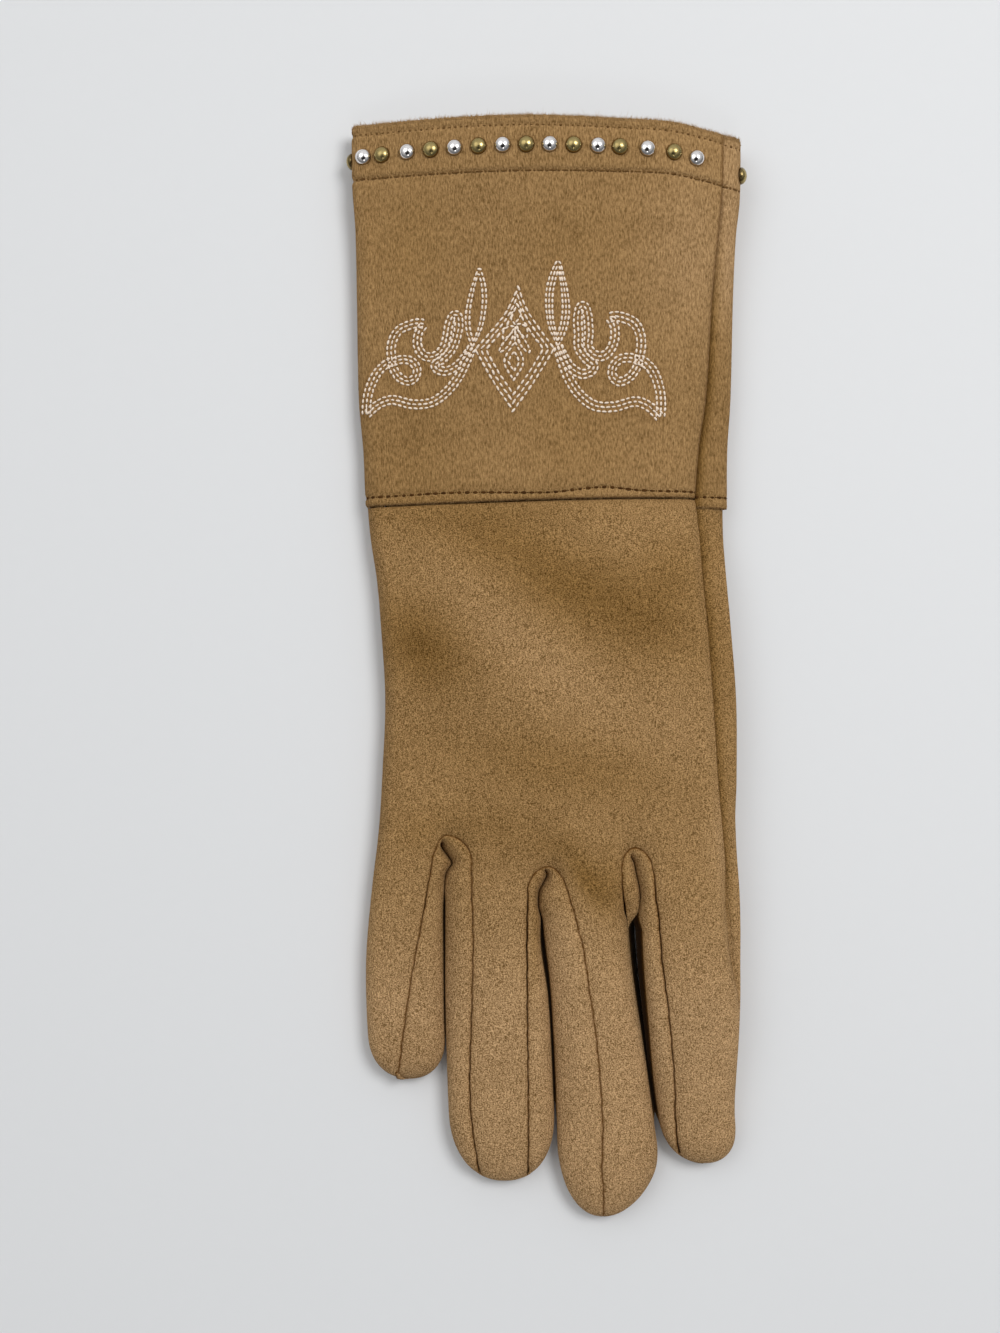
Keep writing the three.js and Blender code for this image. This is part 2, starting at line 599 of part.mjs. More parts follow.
/** A named mesh from a manifold-3d solid, without needless triangles or crumbs left by the cuts. */
function meshFrom(name, solid, material) {
  const bodies = solid.simplify(0.05).decompose();
  const main = bodies.reduce((a, b) => (b.volume() > a.volume() ? b : a));
  const { numProp, numVert, vertProperties, triVerts } = main.getMesh();
  const positions = new Float32Array(numVert * 3);
  for (let i = 0; i < numVert; i++) positions.set(vertProperties.subarray(i * numProp, i * numProp + 3), i * 3);
  const geometry = new THREE.BufferGeometry();
  geometry.setAttribute("position", new THREE.BufferAttribute(positions, 3));
  geometry.setIndex(new THREE.BufferAttribute(triVerts, 1));
  geometry.computeVertexNormals();
  const mesh = new THREE.Mesh(geometry, material);
  mesh.name = name;
  return mesh;
}

const glove = new THREE.Group();
const panels = { ...handPanels(), thumb: thumbPanel(), ...cuffPanels() };
for (const [name, solid] of Object.entries(panels)) glove.add(meshFrom(name, solid, suede));

studPlaces().forEach(({ x, z, normalX, normalZ }, i) => {
  const isSilver = i % 2 === 0;
  const stud = new THREE.Mesh(studGeometry(), isSilver ? silver : brass);
  stud.name = `stud_${isSilver ? "silver" : "brass"}_${String(i + 1).padStart(2, "0")}`;
  const outward = new THREE.Vector3(normalX, 0, normalZ);
  stud.quaternion.setFromUnitVectors(new THREE.Vector3(0, 0, 1), outward);
  const y = STUD_Y - mouthDrop(x, STUD_Y) - STUD_BOW * (x / 45) ** 2;
  stud.position.set(x, y, z).addScaledVector(outward, SEAM_GAP);
  glove.add(stud);
});

export default glove;
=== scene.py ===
"""A woman's right-hand suede dress glove with a studded gauntlet cuff, lying palm down on a pale floor.

Every panel of cloth is a surface over a grid of two parameters, worked out in millimetres as whole numpy
arrays and put into the mesh in metres. +Y runs from the fingertips to the mouth of the cuff, +X towards the
index finger and +Z up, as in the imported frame.
"""

from __future__ import annotations

import logging
import math
from dataclasses import dataclass, field
from enum import Enum
from typing import Iterable, Sequence

import bpy
import numpy as np
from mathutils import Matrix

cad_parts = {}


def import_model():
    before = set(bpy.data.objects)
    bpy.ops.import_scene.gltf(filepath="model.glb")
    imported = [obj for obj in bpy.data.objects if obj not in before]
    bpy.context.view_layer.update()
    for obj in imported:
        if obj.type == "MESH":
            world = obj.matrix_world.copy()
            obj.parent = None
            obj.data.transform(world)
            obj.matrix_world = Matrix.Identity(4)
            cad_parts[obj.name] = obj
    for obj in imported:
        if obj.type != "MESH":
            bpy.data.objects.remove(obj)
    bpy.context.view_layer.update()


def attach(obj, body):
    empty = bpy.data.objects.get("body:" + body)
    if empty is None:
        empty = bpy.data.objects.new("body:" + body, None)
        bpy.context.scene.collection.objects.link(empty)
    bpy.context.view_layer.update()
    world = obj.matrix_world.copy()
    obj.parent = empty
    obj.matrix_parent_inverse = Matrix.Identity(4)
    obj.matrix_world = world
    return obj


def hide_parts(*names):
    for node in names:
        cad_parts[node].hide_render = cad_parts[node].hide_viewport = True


LOG = logging.getLogger("glove")
Array = np.ndarray
Pair = tuple[float, float]
Colour = tuple[float, float, float, float]
Hill = tuple[float, Pair, Pair, float]  # height, centre, two sizes and turn in degrees

MM = 0.001
CAMERA = (-11.4, 1.7, 400.0)  # where the camera stands, in mm
CAMERA_LENS = 42.35
CAMERA_SENSOR = 36.0
QUARTER = math.pi / 2.0
CLOTH = 0.9  # thickness of the suede cloth, in mm
GUSSET_CLOTH = 0.6
THUMB_CLOTH = 0.7
CUFF_CLOTH = 1.0
THUMB_THICK = 4.4  # height of the flattened thumb
PALM_LIFT = 4.7  # height of the palm where it lies on the thumb
WRIST_Y = 42.5  # where the hand's panels end under the cuff
WRIST_SEAM_Y = 42.7
HAND_Y = -33.0  # where the flat hand starts to turn into fingers
FINGERS_Y = -58.0  # where the fingers are fully round
SIDE_TURN = 4.2  # width of the cloth's turn round the hand's sides
SIDE_TURN_SHARE = 0.62  # the most of a slim finger's half width that the turn takes
TURN_START = 88.0  # how far below the fold the back's cloth starts, in degrees
UNDER_SEAM = 0.62  # where the palm's seams lie, as a share of a finger's half width
BLUNT = 0.9995  # how near a rounded end comes to a point
FAR = 9.0  # a distance at which a seam no longer tells
INDEX = 3  # the index finger's number from the left


# Sums on arrays


def mix(a: Array | float, b: Array | float, t: Array | float) -> Array:
    """Blend from a at t = 0 to b at t = 1."""
    return a + (b - a) * t


def smoothstep(start: float, end: float, value: Array | float) -> Array:
    """Rise from 0 at start to 1 at end as 3t^2 - 2t^3, where t is how far value has gone between them."""
    t = np.clip((np.asarray(value, float) - start) / (end - start), 0.0, 1.0)
    return t * t * (3.0 - 2.0 * t)


def hills(x: Array, y: Array, table: Sequence[Hill]) -> Array:
    """A sum of smooth hills over the plan.

    Each is its height times exp(-(u^2 + v^2)), with u and v the offsets from its centre along its turned
    axes, over its two sizes.
    """
    total = 0.0
    for height, centre, size, turn in table:
        c, s = math.cos(math.radians(turn)), math.sin(math.radians(turn))
        dx, dy = x - centre[0], y - centre[1]
        along, across = (dx * c + dy * s) / size[0], (dy * c - dx * s) / size[1]
        total = total + height * np.exp(-(along**2) - across**2)
    return total


def unit(vectors: Array) -> Array:
    """Each row over its length."""
    return vectors / np.linalg.norm(vectors, axis=1, keepdims=True)


def path_length(points: Array) -> Array:
    """The length walked along a polyline at each of its corners."""
    return np.concatenate([[0.0], np.cumsum(np.linalg.norm(np.diff(points, axis=0), axis=1))])


def chord_slopes(at: Array, values: Array) -> Array:
    """The slope at each station: the chord between its two neighbours, or to its only one at an end."""
    station = np.arange(len(at))
    before, after = np.maximum(station - 1, 0), np.minimum(station + 1, len(at) - 1)
    run = (at[after] - at[before]).reshape(-1, *[1] * (values.ndim - 1))
    return (values[after] - values[before]) / run


def hermite(t: Array) -> tuple[Array, Array, Array, Array]:
    """The cubic weights at t of a span's start, of the slope there, of its end and of the slope there."""
    return 2 * t**3 - 3 * t**2 + 1, t**3 - 2 * t**2 + t, 3 * t**2 - 2 * t**3, t**3 - t**2


def edge_spacing(count: int, evenness: float = 0.5) -> Array:
    """Places from 0 to 1, closer together at both ends: a mix of even steps and cosine steps."""
    t = np.linspace(0.0, 1.0, count)
    return evenness * t + (1.0 - evenness) * (1.0 - np.cos(np.pi * t)) / 2.0


def end_spacing(count: int, evenness: float = 0.5) -> Array:
    """Places from 0 to 1 in one row, closer together at the end only: the later half of edge_spacing."""
    t = edge_spacing(count * 2, evenness)[count:][None, :] * 2.0 - 1.0
    return (t - t[:, :1]) / (t[:, -1:] - t[:, :1])


def turn_up(count: int) -> Array:
    """Angles in one row from below a fold to the back above it, without the last."""
    return np.radians(np.linspace(-TURN_START, 90.0, count + 1))[None, :-1]


def quarter_turn(count: int) -> Array:
    """Angles in one row from 0 to 90 degrees, without the last."""
    return np.radians(np.linspace(0.0, 90.0, count))[None, :-1]


@dataclass(frozen=True)
class Table:
    """Named columns measured at stations that run down in y, read between them on a smooth curve."""

    names: tuple[str, ...]
    rows: tuple[tuple[float, ...], ...]

    @property
    def last(self) -> float:
        """The last station's y."""
        return self.rows[-1][0]

    def at(self, name: str, y: Array | float) -> Array:
        """Read a column at y by cubic Hermite pieces whose slopes are the chords over two rows.

        Args:
            name: the column to read.
            y: where to read it; the ends hold beyond the table.

        Returns:
            The column's value at each y.
        """
        data = np.asarray(self.rows)[::-1]
        ys, values = data[:, 0], data[:, self.names.index(name)]
        slope = chord_slopes(ys, values)
        y = np.clip(np.asarray(y, float), ys[0], ys[-1])
        i = np.clip(np.searchsorted(ys, y, side="right") - 1, 0, len(ys) - 2)
        span = ys[i + 1] - ys[i]
        start, leaving, end, arriving = hermite((y - ys[i]) / span)
        ends = start * values[i] + leaving * span * slope[i] + end * values[i + 1]
        return ends + arriving * span * slope[i + 1]


# Measured shape of the glove, in mm

HAND = Table(
    ("y", "left", "seam", "right", "top_left", "top_mid", "top_right"),
    (
        (42.5, -44.8, 37.3, 44.9, 9.5, 12.2, 10.9),
        (33.6, -44.0, 38.3, 44.8, 9.4, 12.2, 11.4),
        (23.5, -42.5, 39.0, 45.2, 9.3, 12.3, 12.2),
        (13.4, -41.6, 39.9, 46.1, 9.3, 12.4, 12.9),
        (-6.7, -40.4, 41.4, 47.6, 9.3, 12.6, 13.4),
        (-26.9, -41.2, 42.6, 47.7, 9.5, 12.2, 13.5),
        (-37.0, -41.8, 43.5, 47.4, 9.6, 11.7, 13.4),
        (-52.1, -43.2, 44.7, 48.3, 9.7, 11.2, 13.2),
    ),
)
CUFF = Table(
    ("y", "left", "seam", "right", "top_left", "top_mid", "top_right"),
    (
        (137.3, -48.7, 44.1, 49.0, 11.5, 16.4, 13.0),
        (121.7, -48.5, 43.7, 48.8, 11.5, 16.0, 13.0),
        (111.7, -47.8, 43.0, 47.9, 11.0, 15.4, 12.6),
        (94.0, -47.5, 41.5, 47.3, 10.6, 14.6, 12.2),
        (68.8, -47.0, 40.0, 46.7, 10.3, 13.8, 11.7),
        (56.2, -45.9, 38.2, 45.9, 10.3, 13.3, 11.5),
        (42.8, -45.3, 37.1, 45.8, 10.4, 13.1, 11.6),
    ),
)
WRIST_STITCHES = Table(
    ("x", "sag"),
    (
        (48.0, 1.0),
        (35.0, 1.0),
        (23.0, 0.7),
        (15.0, -0.15),
        (8.7, 0.2),
        (1.0, 0.9),
        (-16.0, 0.4),
        (-25.0, 0.2),
        (-41.0, 0.5),
        (-50.0, 0.5),
    ),
)
FINGER_COLUMNS = ("y", "centre", "half", "top", "left_seam", "right_seam")

# Soft swells and hollows of the hand and the cuff, and the nap's tone with painted shade

HAND_SWELLS = (
    (0.9, (-22, 20), (13, 30), 20),
    (-1.1, (10, 20), (17, 11), -28),
    (0.7, (-2, -8), (26, 10), -30),
    (-0.7, (-24, -18), (12, 16), 0),
    (0.5, (26, 8), (12, 22), 10),
    (-0.5, (22, -30), (9, 14), 15),
    (-0.6, (-14, 36), (20, 5), 0),
)
CUFF_SWELLS = (
    (0.5, (-18, 96), (22, 18), 15),
    (-0.45, (12, 78), (26, 14), -10),
    (0.35, (26, 104), (12, 18), 0),
    (-0.5, (-34, 62), (9, 18), 0),
    (0.4, (4, 50), (30, 4), 0),
)
# The nap's own brushed patches, mixed with painted shade in the hollows beside the forks, under the cuff's
# edge and above the forks
NAP_AND_SHADE_PATCHES = (
    (-0.31, (17, 17), (24, 10), -26),
    (0.13, (-2, 4), (30, 9), -37),
    (-0.36, (-31, 7), (13, 9), -45),
    (-0.17, (4, -23), (32, 8), -8),
    (0.06, (34, -14), (10, 22), 0),
    (-0.10, (2, -43), (5, 4), 0),
    (-0.36, (10.3, -51.5), (8, 3.4), -60),
    (0.07, (4, -67), (5, 10), 0),
    (-0.20, (-2.4, -65), (1.6, 13), -2),
    (-0.22, (16.5, -53), (8, 4), -80),
    (-0.08, (-32, -40), (6, 4), 20),
    (-0.10, (-34, 52), (16, 22), 0),
    (0.18, (36, 104), (12, 20), 0),
    (-0.06, (6, 106), (16, 9), 0),
    (-0.11, (-34, 106), (12, 18), 0),
    (-0.08, (6, 60), (14, 16), 20),
    (-0.12, (-16, 40), (26, 4.5), 2),
    (-0.18, (-12, 33), (13, 6), -8),
    (-0.12, (0, 23), (11, 7), -20),
    (-0.15, (31, 25), (8, 8), 0),
    (-0.12, (-16, -38), (20, 7), -6),
    (0.16, (44, -40), (4.5, 14), 0),
)


# Heights and outlines of the glove as it lies


def palm_lift(x: Array, y: Array) -> Array:
    """Height of the palm where it lies over the thumb: a plateau with smooth ramps across and along."""
    along = smoothstep(42.0, 20.5, y) * smoothstep(-107.0, -89.0, y)
    return PALM_LIFT * smoothstep(13.0, 24.5, x) * along


def cuff_under(y: Array) -> Array:
    """Height of the cuff's underside, which its studs hold off the floor near the mouth."""
    return 1.7 * smoothstep(92.0, 122.0, y)


def mouth_drop(x: Array, y: Array) -> Array:
    """How far the cuff's end sags towards the hand at its right fold."""
    gentle = 0.9 * smoothstep(-12.0, 26.0, x) * smoothstep(124.0, 142.0, y)
    return gentle + 3.3 * smoothstep(27.0, 51.0, x) * smoothstep(90.0, 130.0, y)


def wrist_rise(x: Array) -> Array:
    """How far the line between cuff and hand rises above its middle, from its left end to its right."""
    return mix(-1.25, 0.8, smoothstep(-62.0, 30.0, x))


def crowned(table: Table, x: Array, y: Array) -> Array:
    """Height of a back: the middle height falls to the side height as the 1.8th power of the way across."""
    side = np.where(x < 0, table.at("top_left", y), table.at("top_right", y))
    left_reach, right_reach, farthest = 34.0, 36.0, 1.3
    share = np.minimum(np.abs(x) / np.where(x < 0, left_reach, right_reach), farthest)
    return mix(table.at("top_mid", y), side, share**1.8)


def hand_height(x: Array, y: Array) -> Array:
    """Height of the back of the hand: the crowned back with its soft swells and hollows added."""
    return crowned(HAND, x, y) + hills(x, y, HAND_SWELLS)


@dataclass(frozen=True)
class Finger:
    """One finger's tube: its section at each station, and where its seams lie as shares of its half width."""

    name: str
    tip_length: float
    table: Table
    lifted: bool = False
    tip_power: float = 2.2

    @property
    def tip(self) -> float:
        """The y of the fingertip."""
        return self.table.last

    def tip_share(self, y: Array) -> Array:
        """0 along the finger, rising to 1 at the end of its rounded tip."""
        return np.clip((self.tip + self.tip_length - np.asarray(y, float)) / self.tip_length, 0.0, BLUNT)

    def half(self, y: Array) -> Array:
        """Half the width, rounded at the tip by a superellipse of the finger's own power."""
        return self.table.at("half", y) * (1.0 - self.tip_share(y) ** self.tip_power) ** (1 / self.tip_power)

    def centre(self, y: Array) -> Array:
        """The middle of the section."""
        return self.table.at("centre", y)

    def bottom(self, y: Array) -> Array:
        """Height of the underside: the index finger lies on the thumb."""
        return palm_lift(np.full_like(np.asarray(y, float), 40.0), y) if self.lifted else np.zeros_like(y)

    def fold(self, y: Array) -> Array:
        """Height of the widest place."""
        return mix(self.bottom(y), self.table.at("top", y), 0.45)

    def top(self, y: Array) -> Array:
        """Height of the back, falling to the fold at the tip."""
        return mix(self.fold(y), self.table.at("top", y), np.sqrt(1.0 - self.tip_share(y) ** 3))

    def low(self, y: Array) -> Array:
        """Height of the underside, rising to the fold at the tip."""
        return mix(self.fold(y), self.bottom(y), np.sqrt(1.0 - self.tip_share(y) ** 3))

    def at_share(self, share: Array, y: Array) -> Array:
        """The x at a share of the half width."""
        return self.centre(y) + share * self.half(y)

    def seam_x(self, share: Array, y: Array) -> Array:
        """The x of a seam, which runs on straight at the rounded tip until it meets the silhouette."""
        reach = np.minimum(np.abs(share) * self.table.at("half", y), 0.985 * self.half(y))
        return self.centre(y) + np.sign(share) * reach

    def wall_share(self, y: Array) -> Array:
        """How much of its thickness the cloth keeps, thinning where the tip grows narrow."""
        return smoothstep(1.0, 0.9, self.tip_share(y))

    def seam_shows(self, share: Array, y: Array) -> Array:
        """1 where a seam runs over the finger, 0 where it has met the silhouette."""
        place = np.abs(share) * self.table.at("half", y) / self.half(y)
        return 1.0 - smoothstep(0.9, 0.97, place)


FINGERS = (
    Finger(
        "little",
        11.0,
        Table(
            FINGER_COLUMNS,
            (
                (-34.0, -32.8, 8.6, 9.3, -1, 0.66),
                (-41.9, -33.3, 9.0, 9.7, -1, 0.63),
                (-57.0, -34.8, 9.2, 9.2, -1, 0.52),
                (-72.0, -35.4, 9.8, 8.9, -1, 0.26),
                (-87.1, -35.2, 9.8, 8.6, -1, 0.0),
                (-102.5, -34.3, 9.6, 7.8, -1, -0.3),
            ),
        ),
    ),
    Finger(
        "ring",
        17.5,
        Table(
            FINGER_COLUMNS,
            (
                (-40.0, -12.7, 11.2, 10.6, -0.5, 0.64),
                (-51.9, -12.7, 12.3, 10.8, -0.47, 0.67),
                (-67.0, -13.2, 12.0, 10.3, -0.41, 0.72),
                (-82.1, -12.2, 13.0, 10.0, -0.48, 0.59),
                (-107.2, -11.2, 13.3, 9.5, -0.58, 0.52),
                (-128.2, -10.2, 13.2, 8.0, -0.47, 0.45),
            ),
        ),
    ),
    Finger(
        "middle",
        19.5,
        Table(
            FINGER_COLUMNS,
            (
                (-40.0, 12.0, 10.0, 11.0, -0.76, 0.6),
                (-51.9, 11.8, 11.3, 11.3, -0.61, 0.64),
                (-57.0, 10.9, 11.05, 11.2, -0.42, 0.79),
                (-62.0, 10.15, 10.75, 11.1, -0.23, 0.97),
                (-69.0, 10.7, 10.6, 10.9, -0.12, 0.98),
                (-77.1, 11.65, 10.55, 10.8, -0.1, 0.98),
                (-92.2, 13.3, 11.2, 10.6, -0.05, 0.98),
                (-112.3, 15.1, 12.2, 10.0, -0.07, 0.98),
                (-124.0, 15.9, 12.9, 9.3, -0.14, 0.98),
                (-131.0, 15.4, 12.9, 8.8, -0.06, 0.98),
                (-137.3, 14.6, 12.8, 8.2, 0.0, 0.98),
            ),
        ),
        tip_power=1.95,
    ),
    Finger(
        "index",
        10.5,
        Table(
            FINGER_COLUMNS,
            (
                (-38.0, 35.8, 10.9, 13.4, -0.8, 0.82),
                (-51.9, 36.0, 12.2, 13.7, -0.75, 0.72),
                (-62.0, 36.3, 12.3, 13.6, -0.68, 0.76),
                (-72.0, 36.5, 12.1, 13.4, -0.64, 0.85),
                (-82.1, 36.9, 11.7, 13.1, -0.58, 0.96),
                (-102.2, 37.6, 10.4, 10.6, -0.53, 0.97),
                (-112.3, 38.3, 9.6, 9.2, -0.61, 0.97),
                (-123.7, 40.2, 9.3, 8.0, -0.68, 0.97),
            ),
        ),
        lifted=True,
    ),
)


@dataclass(frozen=True)
class Fork:
    """The U-shaped gusset between two fingers: the peaks of its back and palm seams and its wall."""

    left: Finger
    right: Finger
    x: float
    seam_y: float
    wall_y: float
    arch: float
    edge_z: float
    wall_z: float
    wall_top: float
    closed_y: float
    tucks: tuple[tuple[float, float, float], ...]
    palm_peak: float = 3.6  # how far the arch in the palm peaks above the wall
    palm_arch: float = 4.2

    def tucked(self, y: Array) -> Array:
        """How far the crease is pushed sideways by its small tucks, each a hill of (y, offset, spread)."""
        return sum(offset * np.exp(-(((y - place) / spread) ** 2)) for place, offset, spread in self.tucks)

    def limb(self, y: Array, side: int, back: bool) -> Array:
        """One side of a seam: the finger's own seam, drawn in to the peak by a quarter ellipse.

        Args:
            y: where on the seam.
            side: -1 for the left finger's limb, 1 for the right finger's.
            back: whether it is the seam on the back rather than in the palm.

        Returns:
            The x of the seam at each y.
        """
        finger = self.left if side < 0 else self.right
        if back:
            share = finger.table.at("right_seam" if side < 0 else "left_seam", y)
        else:
            share = np.full_like(y, -side * UNDER_SEAM)
        peak, rise = self.peak(back), self.rise(back)
        way = np.clip((y - (peak - rise)) / rise, 0.0, 1.0)
        wobble = 0.07 * np.sin(0.83 * y + side) + 0.06 * np.sin(1.71 * y + 2.0 * self.x)
        straight = finger.seam_x(share, y) + wobble * finger.seam_shows(share, y)
        return self.x + (straight - self.x) * np.sqrt(1.0 - way**2)

    def shows(self, y: Array, side: int, back: bool) -> Array:
        """1 where a limb's seam runs over the finger, 0 where it has met the silhouette."""
        finger = self.left if side < 0 else self.right
        if back:
            share = finger.table.at("right_seam" if side < 0 else "left_seam", y)
        else:
            share = np.full_like(y, UNDER_SEAM)
        return finger.seam_shows(share, y)

    def peak(self, back: bool) -> float:
        """The y of the top of the arch."""
        return self.seam_y if back else self.wall_y + self.palm_peak

    def rise(self, back: bool) -> float:
        """How high the arch is."""
        return self.arch if back else self.palm_arch

    def gap(self, y: Array) -> Array:
        """The clear width between the two fingers."""
        return self.right.at_share(-1.0, y) - self.left.at_share(1.0, y)

    def frame(self, y: Array, side: int) -> Array:
        """The x where a finger's section ends: the fork's line in the hand, the silhouette further down."""
        finger = self.left if side < 0 else self.right
        edge = finger.at_share(-side, np.minimum(y, self.seam_y))
        return mix(self.x, edge, smoothstep(self.seam_y, self.seam_y - 9.0, y))


FORKS = (
    Fork(
        FINGERS[0], FINGERS[1], -24.8, -40.4, -46.9, 7.0, 7.2, 4.6, -42.8, -56.0,
        ((-43.2, -1.6, 1.8), (-47.8, 1.5, 1.7)),
    ),
    Fork(
        FINGERS[1], FINGERS[2], 0.8, -48.4, -53.5, 6.0, 7.6, 4.8, -49.6, -60.0,
        ((-49.0, -1.4, 1.0), (-55.0, -1.5, 3.3), (-60.5, -0.8, 3.5)),
    ),
    Fork(
        FINGERS[2], FINGERS[3], 22.0, -43.4, -50.4, 7.5, 9.6, 7.6, -45.8, -61.5,
        ((-45.4, -1.2, 1.3), (-55.5, 1.4, 6.0)),
    ),
)


def finger_share(y: Array) -> Array:
    """0 in the flat hand, rising to 1 where the fingers are round."""
    return smoothstep(HAND_Y, FINGERS_Y, y)


def fold_width(finger: Finger, y: Array) -> Array:
    """Width of the cloth's turn round a side, less where the finger is slim."""
    return np.minimum(SIDE_TURN, finger.half(y) * SIDE_TURN_SHARE)


def seam_share(y: Array) -> Array:
    """How much of the side seam shows, which runs out down the index finger."""
    return smoothstep(-84.0, -70.0, y)


def step_share(y: Array) -> Array:
    """How much of its step the back keeps at the side seam, which runs out down the index finger."""
    return smoothstep(-86.0, -66.0, y)


def side_seam(y: Array) -> Array:
    """The x of the side seam: the hand's own, then along the index finger."""
    index = FINGERS[INDEX]
    on_finger = index.seam_x(index.table.at("right_seam", y), y)
    return mix(HAND.at("seam", y), on_finger, smoothstep(-38.0, FINGERS_Y, y))


def right_fold(y: Array) -> Array:
    """The x of the right silhouette, along the hand and then the index finger."""
    return mix(HAND.at("right", y), FINGERS[INDEX].at_share(1.0, y), smoothstep(-38.0, FINGERS_Y, y))


def left_fold(y: Array) -> Array:
    """The x of the left silhouette, along the hand and then the little finger."""
    return mix(HAND.at("left", y), FINGERS[0].at_share(-1.0, y), smoothstep(-36.0, -52.0, y))


@dataclass(frozen=True)
class Skin:
    """The outer skin of hand and fingers, as heights over the plan."""

    def across(self, j: int, x: Array, y: Array) -> tuple[Array, Array, Array]:
        """Where a point lies across finger j.

        Args:
            j: the finger's number from the left.
            x: the point's x.
            y: the point's y.

        Returns:
            The place from -1 to 1, the height of the finger's edge on that side, and how much of a round
            finger, rather than a flat hand, the section is there.
        """
        finger = FINGERS[j]
        fold = finger.fold(y)
        if j > 0:
            left, low_left, round_left = self._side(FORKS[j - 1], 1, y, fold)
        else:
            left, low_left, round_left = left_fold(y), fold, np.ones_like(y)
        if j < INDEX:
            right, low_right, round_right = self._side(FORKS[j], -1, y, fold)
        else:
            right, low_right, round_right = right_fold(y), fold, np.ones_like(y)
        place = np.clip(2.0 * (x - left) / (right - left) - 1.0, -1.0, 1.0)
        is_left = place < 0
        return place, np.where(is_left, low_left, low_right), np.where(is_left, round_left, round_right)

    @staticmethod
    def _side(fork: Fork, side: int, y: Array, fold: Array) -> tuple[Array, Array, Array]:
        """A fork's frame line, edge height and roundness at y."""
        own = smoothstep(fork.seam_y - 3.0, fork.seam_y - 20.0, y)
        return fork.frame(y, side), mix(fork.edge_z, fold, own), smoothstep(fork.seam_y, fork.seam_y - 8.0, y)

    def top(self, j: int, x: Array, y: Array) -> Array:
        """Height of the back over finger j.

        In the hand it is the hand's own height. Down a finger it is edge + (top - edge) * crown, where crown
        is 1 - 3p^4 + 2p^6 beside a fork and (1 - |p|^2.6)^0.5 down the finger, p the place across.
        """
        place, edge, roundness = self.across(j, x, y)
        soft = 1.0 - 3.0 * place**4 + 2.0 * place**6
        full = np.sqrt(np.maximum(1.0 - np.abs(place) ** 2.6, 0.0))
        finger = edge + (FINGERS[j].top(y) - edge) * mix(soft, full, roundness)
        return mix(hand_height(x, y), finger, finger_share(y))

    def under(self, j: int, x: Array, y: Array) -> Array:
        """Height of the palm under finger j, by the same sum turned over."""
        place, edge, roundness = self.across(j, x, y)
        soft = 1.0 - 3.0 * place**4 + 2.0 * place**6
        full = np.sqrt(np.maximum(1.0 - np.abs(place) ** 3.2, 0.0))
        finger = edge - (edge - FINGERS[j].low(y)) * mix(soft, full, roundness)
        return mix(palm_lift(x, y), finger, finger_share(y))


SKIN = Skin()


def seam_distance(x: Array, y: Array, lines: Sequence[Array]) -> Array:
    """Distance in plan from each point to the nearest of several polylines.

    For each segment from a to b the nearest point is a + t(b - a), t the projection clipped to 0 and 1.
    The points are taken a few thousand at a time, to save memory.
    """
    points = np.stack([x.ravel(), y.ravel()], axis=1)
    best = np.full(len(points), np.inf)
    chunk = 4000
    for line in lines:
        a, run = line[:-1], np.diff(line, axis=0)
        length2 = np.maximum((run**2).sum(axis=1), 1e-12)
        for start in range(0, len(points), chunk):
            part = points[start : start + chunk, None, :]
            t = np.clip(((part - a) * run).sum(axis=2) / length2, 0.0, 1.0)
            nearest = a + t[..., None] * run
            distance = np.sqrt(((part - nearest) ** 2).sum(axis=2)).min(axis=1)
            best[start : start + chunk] = np.minimum(best[start : start + chunk], distance)
    return best.reshape(x.shape)


def tuck(distance: Array) -> Array:
    """How deep cloth dips by a seam: sharply by 0.2 mm over 0.24 mm, and softly by 0.6 mm over 1.8 mm."""
    return 0.2 * np.exp(-distance / 0.24) + 0.6 * np.exp(-((distance / 1.8) ** 1.5))


def edge_fall(distance: Array) -> Array:
    """How far the back's free edge has rounded over beside the side seam, from 1 at the edge, over 1.5 mm."""
    return np.exp(-((distance / 1.5) ** 1.6))


def seam_shade(distance: Array, along: Array) -> Array:
    """How dark a seam is: 1 on its line, with a slight beat at each stitch of 2.2 mm, and a soft skirt of
    painted shade.
    """
    stitch = 2.2
    beat = 0.86 + 0.14 * np.sin(along * (2.0 * np.pi / stitch))
    return np.exp(-((distance / 0.25) ** 2)) * beat + 0.2 * np.exp(-((distance / 1.1) ** 2))


# Meshes


def nap_and_shade_tone(x: Array, y: Array) -> Array:
    """How light the nap is: its own brushed patches with painted shade in hollows, and the fingers painted
    lighter, partly as painted light.
    """
    return 0.97 + 0.26 * smoothstep(-42.0, -88.0, y) + hills(x, y, NAP_AND_SHADE_PATCHES)


@dataclass
class Patch:
    """A grid of points in mm, with its seam darkness and painted shade, its share of the thickness and its
    tone of painted shade.
    """

    points: Array
    seam: Array
    wall: Array | None = None
    tone: Array | None = None

    @property
    def faces(self) -> Array:
        """Four corners for each cell of the grid, numbered row by row."""
        rows, columns = self.points.shape[:2]
        index = np.arange(rows * columns).reshape(rows, columns)
        corners = [index[:-1, :-1], index[:-1, 1:], index[1:, 1:], index[1:, :-1]]
        return np.stack(corners, axis=-1).reshape(-1, 4)

    @property
    def area(self) -> float:
        """The area of the grid's cells, in square mm, as half the cross product of their diagonals."""
        p = self.points
        cross = np.cross(p[1:, 1:] - p[:-1, :-1], p[1:, :-1] - p[:-1, 1:])
        return float(np.sqrt((cross**2).sum(axis=-1)).sum() / 2)


def linked(name: str, data: bpy.types.ID) -> bpy.types.Object:
    """A new object of the scene, at the origin, with the given mesh, light or camera."""
    made = bpy.data.objects.new(name, data)
    bpy.context.scene.collection.objects.link(made)
    return made


